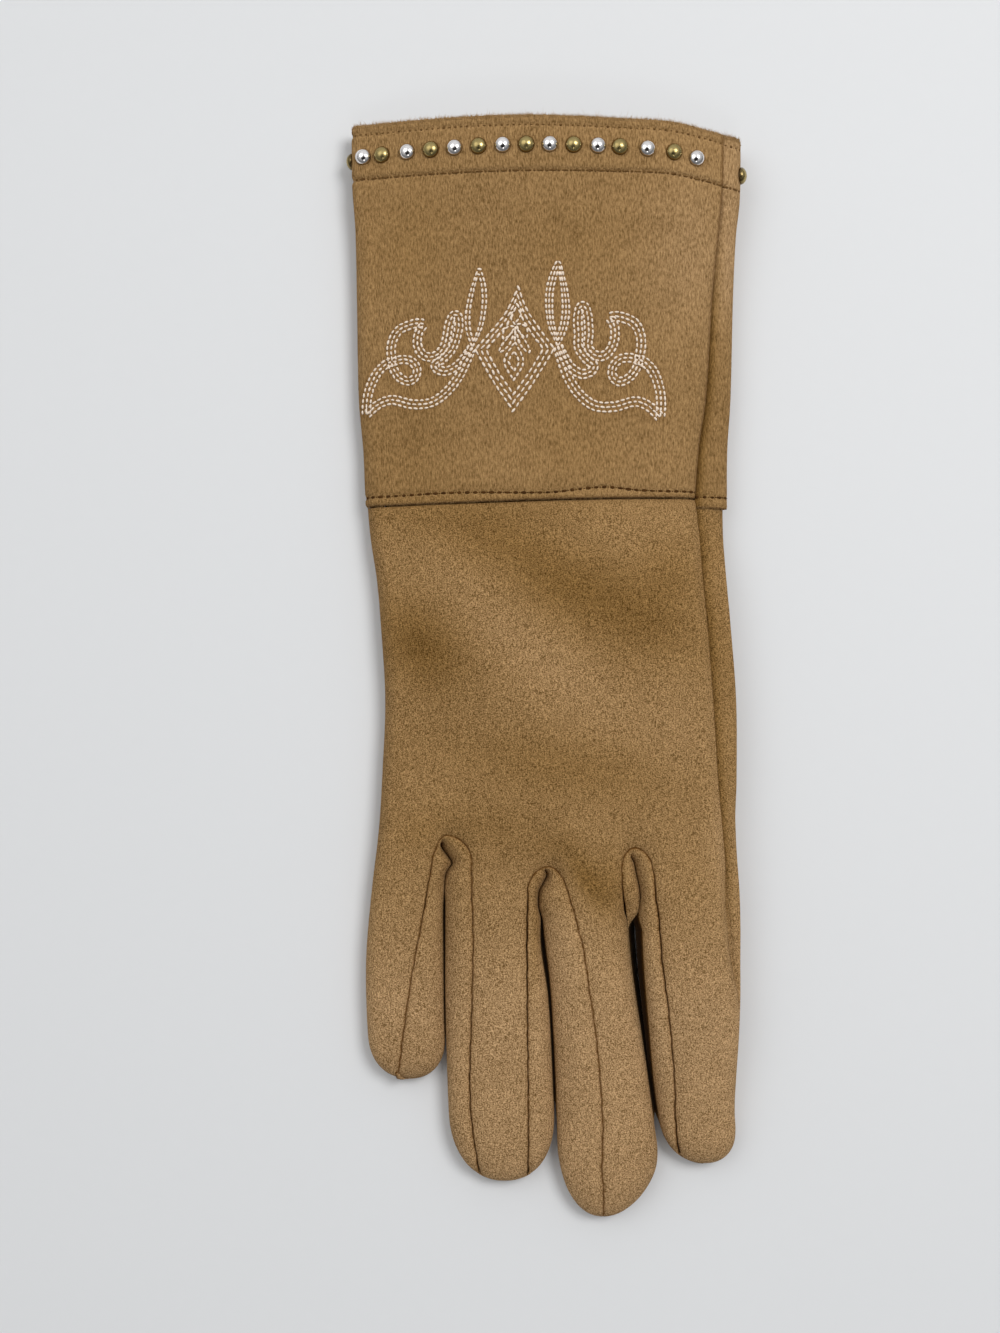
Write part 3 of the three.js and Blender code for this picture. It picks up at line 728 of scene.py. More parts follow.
def mesh_object(name: str, patches: Iterable[Patch], outward: bool = True) -> bpy.types.Object:
    """Put patches into one mesh in metres and weld the corners that they share.

    Args:
        name: the object's name.
        patches: the grids, in mm.
        outward: whether the faces keep the grids' own turn.

    Returns:
        The object, with point attributes "seam", the seams' darkness with painted shade beside them, and
        "nap", the nap's tone with painted shade and light, and a vertex group "wall" in twelve steps.
    """
    points, seams, walls, tones, faces, start = [], [], [], [], [], 0
    for patch in patches:
        points.append(patch.points.reshape(-1, 3))
        seams.append(patch.seam.ravel())
        walls.append(np.ones(patch.seam.size) if patch.wall is None else patch.wall.ravel())
        tones.append(np.ones(patch.seam.size) if patch.tone is None else patch.tone.ravel())
        faces.append(patch.faces + start)
        start += patch.points.shape[0] * patch.points.shape[1]
    all_points, all_seams = np.concatenate(points), np.concatenate(seams)
    _, first, inverse = np.unique(np.round(all_points, 3), axis=0, return_index=True, return_inverse=True)
    quads = inverse.ravel()[np.concatenate(faces)]
    if not outward:
        quads = quads[:, ::-1]
    distinct = [tuple(dict.fromkeys(quad)) for quad in quads.tolist()]
    mesh = bpy.data.meshes.new(name)
    mesh.from_pydata((all_points[first] * MM).tolist(), [], [face for face in distinct if len(face) > 2])
    mesh.validate()
    kept = all_points[first]
    tone = np.concatenate(tones)[first]
    # The nap attribute is the nap's tone times each patch's tone, with painted shade and painted light
    values = {"seam": all_seams[first], "nap": tone * nap_and_shade_tone(kept[:, 0], kept[:, 1])}
    for key, value in values.items():
        mesh.attributes.new(key, "FLOAT", "POINT").data.foreach_set("value", value.astype(np.float32))
    mesh.shade_smooth()
    made = linked(name, mesh)
    steps = np.round(np.concatenate(walls)[first] * 12.0) / 12.0
    group = made.vertex_groups.new(name="wall")
    for weight in np.unique(steps):
        group.add(np.flatnonzero(steps == weight).tolist(), float(weight), "REPLACE")
    return made


def thicken(piece: bpy.types.Object, thickness: float = CLOTH) -> bpy.types.Object:
    """Give a sheet its thickness on its inner side, with closed rims."""
    wall = piece.modifiers.new("cloth", "SOLIDIFY")
    wall.thickness = thickness * MM
    wall.offset = -1.0
    wall.use_rim = True
    wall.vertex_group = "wall"
    wall.thickness_vertex_group = 0.06
    return piece


def hand_rows(forks: Sequence[Fork], back: bool) -> Array:
    """Rows shared by the four columns of a panel, from the wrist to below the forks, close by each arch."""
    base = np.concatenate([WRIST_Y - np.array([0, 0.2, 0.45, 0.8, 1.3]), np.linspace(40.5, -34.0, 74)])
    near = [np.arange(-34.0, -60.0, -1.0)]
    angles = np.radians(np.arange(0.0, 91.0, 9.0))
    for fork in forks:
        near.append(fork.peak(back) - fork.rise(back) * (1.0 - np.cos(angles)))
        near.append(fork.peak(back) + np.array([0.15, 0.35, 0.6, 1.0, 1.6, 2.4]))
    rows = np.unique(np.round(np.concatenate([base, *near]), 3))[::-1]
    keep = np.concatenate([[True], np.abs(np.diff(rows)) > 0.045])
    peaks = np.round([fork.peak(back) for fork in forks], 3)
    return rows[keep | np.isin(rows, peaks)]


def finger_rows(finger: Finger, start: float) -> Array:
    """Rows down a finger from just below start, closer together round the tip."""
    step = 1.1
    straight = np.arange(start - step, finger.tip + finger.tip_length, -step)
    turn = np.radians(np.linspace(0.0, 89.0, 26))
    return np.concatenate([straight, finger.tip + finger.tip_length * (1.0 - np.sin(turn))])


def fork_lines(back: bool, corners: int) -> list[Array]:
    """The seams beside the fingers in plan, as polylines.

    Args:
        back: whether they are the seams on the back rather than in the palm.
        corners: how many corners each arch has.

    Returns:
        Two lines for each fork, without the stretches that have met the silhouette.
    """
    lines = []
    turn = np.radians(np.linspace(0.0, 90.0, corners))
    for fork in FORKS:
        arch = fork.peak(back) - fork.rise(back) * (1.0 - np.cos(turn))
        for side, finger in ((-1, fork.left), (1, fork.right)):
            y = np.concatenate([arch, finger_rows(finger, arch[-1])])
            y = y[fork.shows(y, side, back) > 0.5]
            lines.append(np.stack([fork.limb(y, side, back), y], axis=1))
    return lines


# Suede finish


class Socket:
    """One output socket of a node tree, with arithmetic written as Python expressions."""

    def __init__(self, graph: "Graph", link: bpy.types.NodeSocket) -> None:
        """Wrap a socket of graph's tree."""
        self.graph, self.link = graph, link

    def _math(self, operation: str, *values: "Socket | float") -> "Socket":
        """A Math node on this kind of number."""
        return self.graph.node("ShaderNodeMath", {"operation": operation}, list(values))

    def __add__(self, other: "Socket | float") -> "Socket":
        """self + other."""
        return self._math("ADD", self, other)

    def __sub__(self, other: "Socket | float") -> "Socket":
        """self - other."""
        return self._math("SUBTRACT", self, other)

    def __mul__(self, other: "Socket | float") -> "Socket":
        """self * other."""
        return self._math("MULTIPLY", self, other)

    def __rsub__(self, other: float) -> "Socket":
        """other - self."""
        return self._math("SUBTRACT", other, self)

    def __pow__(self, other: float) -> "Socket":
        """self to the power of other."""
        return self._math("POWER", self, other)

    __radd__, __rmul__ = __add__, __mul__

    def clamp(self) -> "Socket":
        """self held between 0 and 1."""
        return self.graph.node("ShaderNodeClamp", {}, [self])


class Graph:
    """A material's node tree."""

    def __init__(self, name: str) -> None:
        """Start an empty tree with its output node."""
        self.material = bpy.data.materials.new(name)
        self.material.use_nodes = True
        self.tree = self.material.node_tree
        self.tree.nodes.clear()
        self.output = self.tree.nodes.new("ShaderNodeOutputMaterial")

    def node(
        self,
        kind: str,
        settings: dict[str, object] | None = None,
        inputs: Sequence[object] | dict[str, object] | None = None,
        out: int | str = 0,
    ) -> Socket:
        """Add a node.

        Args:
            kind: the node's type.
            settings: properties to set first; "stops" are a ramp's (place, colour) pairs.
            inputs: values or sockets, in order or by name.
            out: which output to hand back.

        Returns:
            The chosen output.
        """
        made = self.tree.nodes.new(kind)
        for key, value in (settings or {}).items():
            if key == "stops":
                self._stops(made, value)
            else:
                setattr(made, key, value)
        pairs = inputs.items() if isinstance(inputs, dict) else enumerate(inputs or [])
        for key, value in pairs:
            if isinstance(value, Socket):
                self.tree.links.new(value.link, made.inputs[key])
            elif value is not None:
                made.inputs[key].default_value = value
        return Socket(self, made.outputs[out])

    @staticmethod
    def _stops(ramp: bpy.types.Node, stops: Sequence[tuple[float, tuple[float, ...]]]) -> None:
        """Set a colour ramp's stops."""
        elements = ramp.color_ramp.elements
        while len(elements) < len(stops):
            elements.new(0.5)
        for element, (place, colour) in zip(elements, stops):
            element.position = place
            element.color = colour

    def mix_colour(self, factor: Socket | float, a: object, b: object, blend: str = "MIX") -> Socket:
        """Mix two colours."""
        settings = {"data_type": "RGBA", "blend_type": blend}
        return self.node("ShaderNodeMix", settings, {0: factor, 6: a, 7: b}, out=2)

    def noise(self, where: Socket, scale: float, detail: float = 2.0, roughness: float = 0.5) -> Socket:
        """Noise from 0 to 1 at a scale, in waves a metre."""
        inputs = {"Vector": where, "Scale": scale, "Detail": detail, "Roughness": roughness}
        return self.node("ShaderNodeTexNoise", {}, inputs)

    def finish(self, shader: Socket) -> bpy.types.Material:
        """Join the shader to the output and hand back the material."""
        self.tree.links.new(shader.link, self.output.inputs["Surface"])
        return self.material


@dataclass(frozen=True)
class Suede:
    """Brushed suede cloth: a short mottled nap that lies in streaks, darker in its seams, with painted shade
    and light.
    """

    name: str = "suede"
    light: Colour = (0.56, 0.34, 0.148, 1.0)
    dark: Colour = (0.12, 0.061, 0.016, 1.0)
    # Dark red brown of the seam lines, also used for painted shade beside seams, in grooves and under edges
    seam: Colour = (0.15, 0.06, 0.01, 1.0)
    sheen: Colour = (1.0, 0.76, 0.48, 1.0)
    nap_length: float = 0.00035
    hand_y: float = 0.047

    def make(self) -> bpy.types.Material:
        """Build the material.

        Returns:
            The material. Its colour mixes dark and light by fine nap, streaks and broad patches, and then
            goes darker and redder by the "nap" attribute, the nap's tone with painted shade and light.
            Painted shade by the seams takes it towards the seam colour. The speckles grow on the hand, below
            the cuff.
        """
        g = Graph(self.name)
        where = g.node("ShaderNodeTexCoord", {}, out="Object")
        stretch = {"Vector": where, "Scale": (1.0, 0.3, 1.0)}
        streaked = g.node("ShaderNodeMapping", {"vector_type": "POINT"}, stretch)
        nap = g.noise(streaked, 2900.0, 1.5, 0.5)
        speck = g.noise(where, 3400.0, 2.0, 0.5)
        on_hand = ((self.hand_y - g.node("ShaderNodeSeparateXYZ", {}, [where], out=1)) * 120.0).clamp()
        patch = g.noise(where, 26.0, 3.0, 0.5)
        cloud = g.noise(where, 150.0, 3.0, 0.55)
        fine = (nap - 0.5) * (1.3 - on_hand * 0.5) + (speck - 0.5) * (on_hand * 2.2 + 0.5)
        tone = fine + (patch - 0.5) * 0.25 + (cloud - 0.5) * 0.2 + 0.45
        colour = g.mix_colour(tone.clamp(), self.dark, self.light)
        # The nap attribute multiplies in the nap's own tone together with painted shade and painted light
        lie = g.node("ShaderNodeAttribute", {"attribute_name": "nap"}, out="Fac")
        nap_and_shade_tint = g.node("ShaderNodeCombineColor", {}, [lie, lie**1.2, lie**1.9])
        colour = g.mix_colour(1.0, colour, nap_and_shade_tint, "MULTIPLY")
        # The seam attribute darkens the seam lines and paints shade beside them, in the stitched grooves,
        # under edges and round the ornament
        near = g.node("ShaderNodeAttribute", {"attribute_name": "seam"}, out="Fac")
        thread = g.noise(where, 620.0, 2.0) * 1.1 + 0.35
        colour = g.mix_colour((near**1.5 * thread).clamp(), colour, self.seam)
        relief = {"Strength": 1.0, "Distance": self.nap_length, "Height": nap * 0.7 + speck * 0.3}
        inputs = {
            "Base Color": colour,
            "Roughness": 0.96,
            "Specular IOR Level": 0.05,
            "Sheen Weight": 0.05,
            "Sheen Roughness": 0.55,
            "Sheen Tint": self.sheen,
            "Normal": g.node("ShaderNodeBump", {}, relief, out="Normal"),
        }
        return g.finish(g.node("ShaderNodeBsdfPrincipled", {}, inputs))


@dataclass(frozen=True)
class Thread:
    """Matt sewing thread, slightly uneven in tone."""

    name: str
    colour: Colour
    shade: Colour

    def make(self) -> bpy.types.Material:
        """Build the material from two tones mixed by noise.

        Returns:
            The material.
        """
        g = Graph(self.name)
        where = g.node("ShaderNodeTexCoord", {}, out="Object")
        tone = ((g.noise(where, 900.0, 2.0) - 0.5) * 2.2 + 0.5).clamp()
        colour = g.mix_colour(tone, self.shade, self.colour)
        inputs = {"Base Color": colour, "Roughness": 0.8, "Specular IOR Level": 0.08}
        return g.finish(g.node("ShaderNodeBsdfPrincipled", {}, inputs))


@dataclass(frozen=True)
class StudMetal:
    """Polished or antiqued metal, with a faint tarnish and a painted dark brown rim: the cloth's reflection
    and contact shadow.
    """

    name: str
    colour: Colour
    tarnish: Colour
    roughness: float
    # Colour of the painted rim: a painted reflection of the cloth and painted contact shadow
    rim: Colour = (0.085, 0.055, 0.025, 1.0)

    def make(self) -> bpy.types.Material:
        """Build the material.

        Returns:
            The material. Noise mixes in the tarnish and roughens it a little.
        """
        g = Graph(self.name)
        where = g.node("ShaderNodeTexCoord", {}, out="Object")
        stain = ((g.noise(where, 700.0, 3.0) - 0.45) * 1.8).clamp()
        colour = g.mix_colour(stain, self.colour, self.tarnish)
        # Painted reflection and shadow: the dome's outer rings turn dark brown
        edge = g.node("ShaderNodeAttribute", {"attribute_name": "rim"}, out="Fac")
        colour = g.mix_colour(edge * 0.85, colour, self.rim)
        rough = stain * 0.12 + self.roughness
        inputs = {"Base Color": colour, "Metallic": 1.0, "Roughness": rough}
        return g.finish(g.node("ShaderNodeBsdfPrincipled", {}, inputs))


class ThreadFinish(Enum):
    """The threads of the wrist, the hem and the ornament, and the loose nap."""

    # The wrist, hem and mouth threads are darker than the cloth: their own brown, and painted shade of the
    # stitches sunk in their grooves
    DARK = Thread("dark_thread", (0.10, 0.042, 0.009, 1.0), (0.045, 0.018, 0.004, 1.0))
    BROWN = Thread("brown_thread", (0.21, 0.115, 0.04, 1.0), (0.10, 0.045, 0.012, 1.0))
    LOOSE = Thread("loose_nap", (0.46, 0.29, 0.13, 1.0), (0.30, 0.18, 0.07, 1.0))
    CREAM = Thread("cream_thread", (0.95, 0.82, 0.68, 1.0), (0.82, 0.66, 0.52, 1.0))


class StudFinish(Enum):
    """The two alternating stud metals."""

    SILVER = StudMetal("stud_silver", (0.95, 0.91, 0.89, 1.0), (0.74, 0.70, 0.68, 1.0), 0.13)
    BRASS = StudMetal("stud_brass", (0.44, 0.34, 0.14, 1.0), (0.31, 0.23, 0.09, 1.0), 0.26)


def cloth(piece: bpy.types.Object, patches: Sequence[Patch], cut: Pair) -> None:
    """Log a panel's faces and its area of cloth. The panel is cut from a rectangle of the given size in mm.
    """
    area = sum(patch.area for patch in patches)
    cut[0] * MM
    cut[1] * MM
    LOG.info("%s: %d faces, %.0f square mm of cloth", piece.name, len(piece.data.polygons), area)


def dress(piece: bpy.types.Object, material: bpy.types.Material, slot: str, *nodes: str) -> bpy.types.Object:
    """Give a piece its material and its body, and hide the nodes that it stands for."""
    piece.data.materials.clear()
    piece.data.materials.append(material)
    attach(piece, "root")
    if nodes:
        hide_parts(*nodes)
    return piece


# The hand's panels


@dataclass
class BackPanel:
    """The back of the hand and of the four fingers, one piece of cloth with a U cut at each fork."""

    cut: Pair = (100.0, 182.0)
    columns: int = 38
    turning: int = 16
    fold_z: float = 3.8
    step: float = 2.0
    patches: list[Patch] = field(default_factory=list)

    def seam_lines(self) -> list[Array]:
        """The panel's free edges in plan, as polylines."""
        wrist = np.array([[-60.0, WRIST_SEAM_Y], [60.0, WRIST_SEAM_Y]])
        return [*fork_lines(True, 24), wrist]

    def column(self, j: int, rows: Array, lines: Sequence[Array]) -> Patch:
        """One finger's column of the panel, from the wrist to the fingertip.

        Each row runs from the column's left limit to its right one. The little finger's column first goes
        round the left fold: an ellipse x = c - a cos t, z = fold + h sin t, from below up onto the back.
        """
        finger = FINGERS[j]
        v = np.concatenate([rows[rows > FINGERS_Y], finger_rows(finger, FINGERS_Y)])
        y = np.repeat(v[:, None], self.columns, axis=1)
        right = FORKS[j].limb(v, -1, True) if j < INDEX else side_seam(v)
        if j > 0:
            left = FORKS[j - 1].limb(v, 1, True)
            x = mix(left[:, None], right[:, None], edge_spacing(self.columns)[None, :])
            z = SKIN.top(j, x, y)
            wrap_edge = np.full_like(x, FAR)
        else:
            x, z, wrap_edge = self._round_left_fold(v, right, y)
        distance = np.minimum(seam_distance(x, y, lines), wrap_edge)
        place, _, roundness = SKIN.across(j, x, y)
        lean = place**3 * roundness * smoothstep(-45.0, -60.0, y)
        down = np.sqrt(np.maximum(1.0 - lean**2, 0.05))
        side = np.abs(side_seam(y) - x) + (0.0 if j == INDEX else FAR)
        depth = tuck(distance) + self.step * step_share(y) * edge_fall(side)
        settled = y + wrist_rise(x) * smoothstep(30.0, WRIST_Y, y)
        points = np.stack([x - lean * depth * 0.8, settled, np.maximum(z - down * depth, 0.0)], axis=-1)
        # Seam lines with painted shade beside them, and a fainter painted shade along the side seam under the
        # back's edge
        shade = np.maximum(seam_shade(distance, y), 0.4 * seam_share(y) * seam_shade(side, y))
        return Patch(points, shade, finger.wall_share(y))

    def _round_left_fold(self, v: Array, right: Array, y: Array) -> tuple[Array, Array, Array]:
        """The little finger's column: round the left fold, then across.

        Args:
            v: the rows.
            right: the column's right limit at each row.
            y: the rows repeated across the grid.

        Returns:
            x and z over the grid, and the distance from the hidden seam.
        """
        finger, share = FINGERS[0], finger_share(v)
        flat = self.columns - self.turning
        fold_x, fold_z = left_fold(v)[:, None], mix(self.fold_z, finger.fold(v), share)[:, None]
        low = mix(0.0, finger.low(v), share)[:, None]
        width = fold_width(finger, v)[:, None]
        angle = turn_up(self.turning)
        shoulder_x = fold_x + width
        shoulder_z = SKIN.top(0, shoulder_x, v[:, None])
        height = np.where(angle < 0, fold_z - low, shoulder_z - fold_z)
        x_turn = shoulder_x - width * np.cos(angle)
        z_turn = fold_z + height * np.sin(angle)
        x_flat = mix(shoulder_x, right[:, None], end_spacing(flat))
        z_flat = SKIN.top(0, x_flat, y[:, self.turning :])
        x = np.concatenate([x_turn, x_flat], axis=1)
        z = np.concatenate([z_turn, z_flat], axis=1)
        turned = np.radians(TURN_START) + angle
        radius = 4.0
        from_edge = np.concatenate([turned, np.full((1, flat), FAR)], axis=1) * radius
        return x, z, np.repeat(from_edge, len(v), axis=0)

    def build(self) -> bpy.types.Object:
        """Make the panel as one welded mesh."""
        rows, lines = hand_rows(FORKS, True), self.seam_lines()
        self.patches = [self.column(j, rows, lines) for j in range(len(FINGERS))]
        return thicken(mesh_object("back_of_hand", self.patches, outward=False))


@dataclass
class PalmPanel:
    """The palm and the fingers' undersides, which also turns up round the right fold to the side seam."""

    cut: Pair = (104.0, 182.0)
    columns: int = 26
    flat: int = 14
    lower: int = 10
    upper: int = 26
    patches: list[Patch] = field(default_factory=list)

    def column(self, j: int, rows: Array, lines: Sequence[Array]) -> Patch:
        """One finger's column of the panel; the index finger's also goes round the right fold."""
        finger = FINGERS[j]
        v = np.concatenate([rows[rows > FINGERS_Y], finger_rows(finger, FINGERS_Y)])
        if j > 0:
            left = FORKS[j - 1].limb(v, 1, False)
        else:
            left = left_fold(v) + fold_width(finger, v) * 1.02
        if j == INDEX:
            return self._round_right_fold(v, left)
        x = mix(left[:, None], FORKS[j].limb(v, -1, False)[:, None], edge_spacing(self.columns)[None, :])
        y = np.repeat(v[:, None], self.columns, axis=1)
        distance = seam_distance(x, y, lines)
        points = np.stack([x, y, SKIN.under(j, x, y) + tuck(distance) * 0.6], axis=-1)
        return Patch(points, seam_shade(distance, y), finger.wall_share(y))

    def _round_right_fold(self, v: Array, left: Array) -> Patch:
        """The index finger's column: across underneath, round the right fold, and over to the side seam.

        The lower quarter is the ellipse x = c + a sin t, z = fold - h cos t. The upper one runs from the fold
        to the seam as x = seam + w cos t, z = fold + h sin t, so that the cloth rolls in beside the back.
        """
        finger, share = FINGERS[INDEX], finger_share(v)
        width = fold_width(finger, v)[:, None]
        low = mix(palm_lift(np.full_like(v, 40.0), v), finger.low(v), share)[:, None]
        fold_z = mix(palm_lift(np.full_like(v, 44.0), v) + 3.5, finger.fold(v), share)[:, None]
        seam_z = (SKIN.top(INDEX, side_seam(v), v) - mix(0.15, 2.9, step_share(v)))[:, None]
        fold_x, seam_x, start = right_fold(v)[:, None], side_seam(v)[:, None], left[:, None]
        t = edge_spacing(self.flat)[None, :-1]
        x_flat = mix(start, fold_x - width, t)
        z_flat = mix(SKIN.under(INDEX, x_flat, np.repeat(v[:, None], self.flat - 1, axis=1)), low, t**2)
        turn = quarter_turn(self.lower)
        x_low, z_low = fold_x - width + width * np.sin(turn), fold_z - (fold_z - low) * np.cos(turn)
        turn = end_spacing(self.upper, 0.35) * QUARTER
        tucked_x = seam_x - 0.6 * seam_share(v)[:, None]
        x_up = tucked_x + (fold_x - tucked_x) * np.cos(turn)
        z_up = fold_z + (seam_z - fold_z) * np.sin(turn)
        x = np.concatenate([x_flat, x_low, x_up], axis=1)
        z = np.concatenate([z_flat, z_low, z_up], axis=1)
        y = np.repeat(v[:, None], x.shape[1], axis=1)
        from_seam = np.abs(x - seam_x) + np.where(z < fold_z, FAR, 0.0)
        distance = np.where(np.arange(x.shape[1]) < self.flat, x - start, FAR)
        distance = np.minimum(distance, WRIST_SEAM_Y - y)
        inward = np.where(z < fold_z, 1.0, -1.0)
        points = np.stack([x, y, z + inward * tuck(distance) - 0.3 * edge_fall(from_seam * 3.0)], axis=-1)
        shade = np.maximum(0.55 * seam_shade(distance, y), 0.3 * seam_share(y) * seam_shade(from_seam, y))
        # Painted shade: the upturned strip is darker, and darker still beside the side seam, in the shadow of
        # the back's edge
        upper_side = smoothstep(0.0, 2.0, z - fold_z) * seam_share(y)
        tone = 1.0 - upper_side * (0.1 + 0.28 * np.exp(-((from_seam / 1.8) ** 2)))
        return Patch(points, shade, finger.wall_share(y), tone)

    def build(self) -> bpy.types.Object:
        """Make the panel as one welded mesh."""
        rows, lines = hand_rows(FORKS, False), fork_lines(False, 16)
        self.patches = [self.column(j, rows, lines) for j in range(len(FINGERS))]
        return thicken(mesh_object("palm", self.patches))


@dataclass
class Gusset:
    """The folded strip between two fingers, from one fingertip round the fork to the other."""

    fork: Fork
    name: str
    cut: Pair = (22.0, 200.0)
    across: int = 34
    patches: list[Patch] = field(default_factory=list)

    def _rail(self, side: int) -> tuple[Array, ...]:
        """The strip's back seam, fold line and palm seam along one finger, from the tip to the fork.

        Args:
            side: -1 for the left finger's side, 1 for the right finger's.

        Returns:
            Three arrays of points, then how far the back seam and the palm seam show, how near the tip each
            row is and its share of the thickness. Above the fork's foot the three lines turn to the middle as
            quarter ellipses.
        """
        fork = self.fork
        finger = fork.left if side < 0 else fork.right
        j = FINGERS.index(finger)
        foot = fork.peak(True) - fork.rise(True)
        down = finger_rows(finger, foot)[::-1]
        turn = np.radians(np.linspace(0.0, 90.0, 22))
        y = np.concatenate([down, foot + fork.rise(True) * np.sin(turn)])
        back_x = fork.limb(y, side, True)
        back = np.stack([back_x, y, SKIN.top(j, back_x, y)], axis=-1)
        near = np.clip((y - foot) / fork.rise(True), 0.0, 1.0)
        wall_foot = min(foot - 1.0, fork.wall_top - 3.0)
        wall_y = self._drawn_down(y, foot, wall_foot) + (fork.wall_top - wall_foot) * near
        below = fork.closed_y - 2.0
        middle = (fork.left.at_share(1.0, below) + fork.right.at_share(-1.0, below)) / 2.0
        crease_x = mix(fork.x, middle, smoothstep(fork.wall_top, fork.closed_y, wall_y)) + fork.tucked(wall_y)
        opened = smoothstep(fork.closed_y + 2.0, fork.closed_y - 3.0, wall_y)
        wall_x = mix(crease_x, finger.at_share(-side, wall_y), opened)
        wall_z = mix(fork.wall_z, finger.fold(wall_y), opened)
        wall = np.stack([wall_x, wall_y, wall_z], axis=-1)
        low_y = self._drawn_down(y, foot, fork.peak(False) - fork.rise(False)) + fork.rise(False) * near
        low_x = fork.limb(low_y, side, False)
        low = np.stack([low_x, low_y, SKIN.under(j, low_x, low_y)], axis=-1)
        shown = fork.shows(y, side, True), fork.shows(low_y, side, False)
        return back, wall, low, *shown, smoothstep(0.0, 0.5, finger.tip_share(y)), finger.wall_share(y)

    @staticmethod
    def _drawn_down(y: Array, foot: float, lower_foot: float) -> Array:
        """Move rows near the fork's foot down to a lower foot.

        Args:
            y: rows that stop at the fork's peak.
            foot: the height of the fork's own foot.
            lower_foot: where the row at the foot, and those above it, go.

        Returns:
            y below the start of a stretch, then start + run * (1 - (1 - t)^p) along it, where p makes the
            slope 1 at the start and it is 0 at the foot.
        """
        start = min(foot, lower_foot) - 9.0
        power = (foot - start) / (lower_foot - start)
        t = np.clip((y - start) / (foot - start), 0.0, 1.0)
        return np.where(y < start, y, start + (lower_foot - start) * (1.0 - (1.0 - t) ** power))

    def build(self) -> bpy.types.Object:
        """Make the strip.

        Across it, the cloth goes from the back seam to the fold line as a quarter ellipse,
        xy = back + (wall - back) sin t, z = wall + (back - wall) cos t, and its mirror to the palm seam.
        Where two fingers touch, its lower half swells to meet the other finger's, and there it is painted
        nearly black with shade.
        """
        rails = [self._rail(-1), self._rail(1)]
        joined = [np.concatenate([a, b[-2::-1]]) for a, b in zip(*rails)]
        back, wall, low, shown_back, shown_palm, blunt, thickness = joined
        half = self.across // 2
        t = edge_spacing(half * 2, 0.4)[:half]
        t = (t / t.max() * QUARTER)[None, :, None]
        hollow = 0.45 * smoothstep(self.fork.closed_y, self.fork.seam_y, wall[:, 1])[:, None, None]
        wall = wall[:, None, :]
        upper = self._quarter(back[:, None, :], wall, mix(np.sin(t), t / QUARTER, hollow), np.cos(t))
        lower = self._quarter(low[:, None, :], wall, np.sin(t), np.cos(t))[:, ::-1]
        points = np.concatenate([upper, lower[:, 1:]], axis=1)
        steps = np.linalg.norm(np.diff(points, axis=1), axis=-1)
        walked = np.concatenate([np.zeros((len(points), 1)), np.cumsum(steps, axis=1)], axis=1)
        wall_y = wall[:, 0, 1]
        gap = self.fork.gap(wall_y) + FAR * blunt
        shorter = max((self.fork.left, self.fork.right), key=lambda finger: finger.tip)
        start, end = (shorter.tip + shorter.tip_length * share for share in (0.75, 1.35))
        beside = smoothstep(start, end, wall_y)
        side = np.where(np.arange(len(wall)) < len(wall) // 2, 1.0, -1.0)
        from_back = walked + FAR * (1.0 - shown_back)[:, None]
        from_palm = walked[:, -1:] - walked + FAR * (1.0 - shown_palm)[:, None]
        bulge = (side * np.clip(gap / 2.0 + 1.35, 0.0, 3.3) * beside)[:, None]
        place = np.arange(points.shape[1]) / (half - 1.0)
        points[..., 0] += bulge * np.sin(np.pi * np.clip(place - 1.0, 0.0, 1.0))[None, :]
        points[..., 2] += -tuck(from_back) + 0.6 * tuck(from_palm)
        hidden = smoothstep(0.9, 1.03, place)[None, :]
        near = seam_shade(np.minimum(from_back, from_palm), points[..., 1])
        # Painted shade in the valley beside the back seam
        near = np.maximum(near, 0.3 * np.exp(-((from_back / 0.9) ** 2)))
        # Painted shade: where the gap between the fingers is narrow, the strip's lower half is painted nearly
        # black
        narrow = (smoothstep(6.0, 3.4, gap) * beside)[:, None]
        wall_share = np.repeat(thickness[:, None], points.shape[1], axis=1)
        self.patches = [Patch(points, near, wall_share, 1.0 - 0.97 * hidden * narrow)]
        return thicken(mesh_object(self.name, self.patches), GUSSET_CLOTH)

    @staticmethod
    def _quarter(seam: Array, fold: Array, out: Array, rise: Array) -> Array:
        """Points from a seam to the fold: xy goes out by the share out, z stays back by the share rise."""
        flat = seam[..., :2] + (fold - seam)[..., :2] * out
        return np.concatenate([flat, fold[..., 2:] + (seam - fold)[..., 2:] * rise], axis=-1)


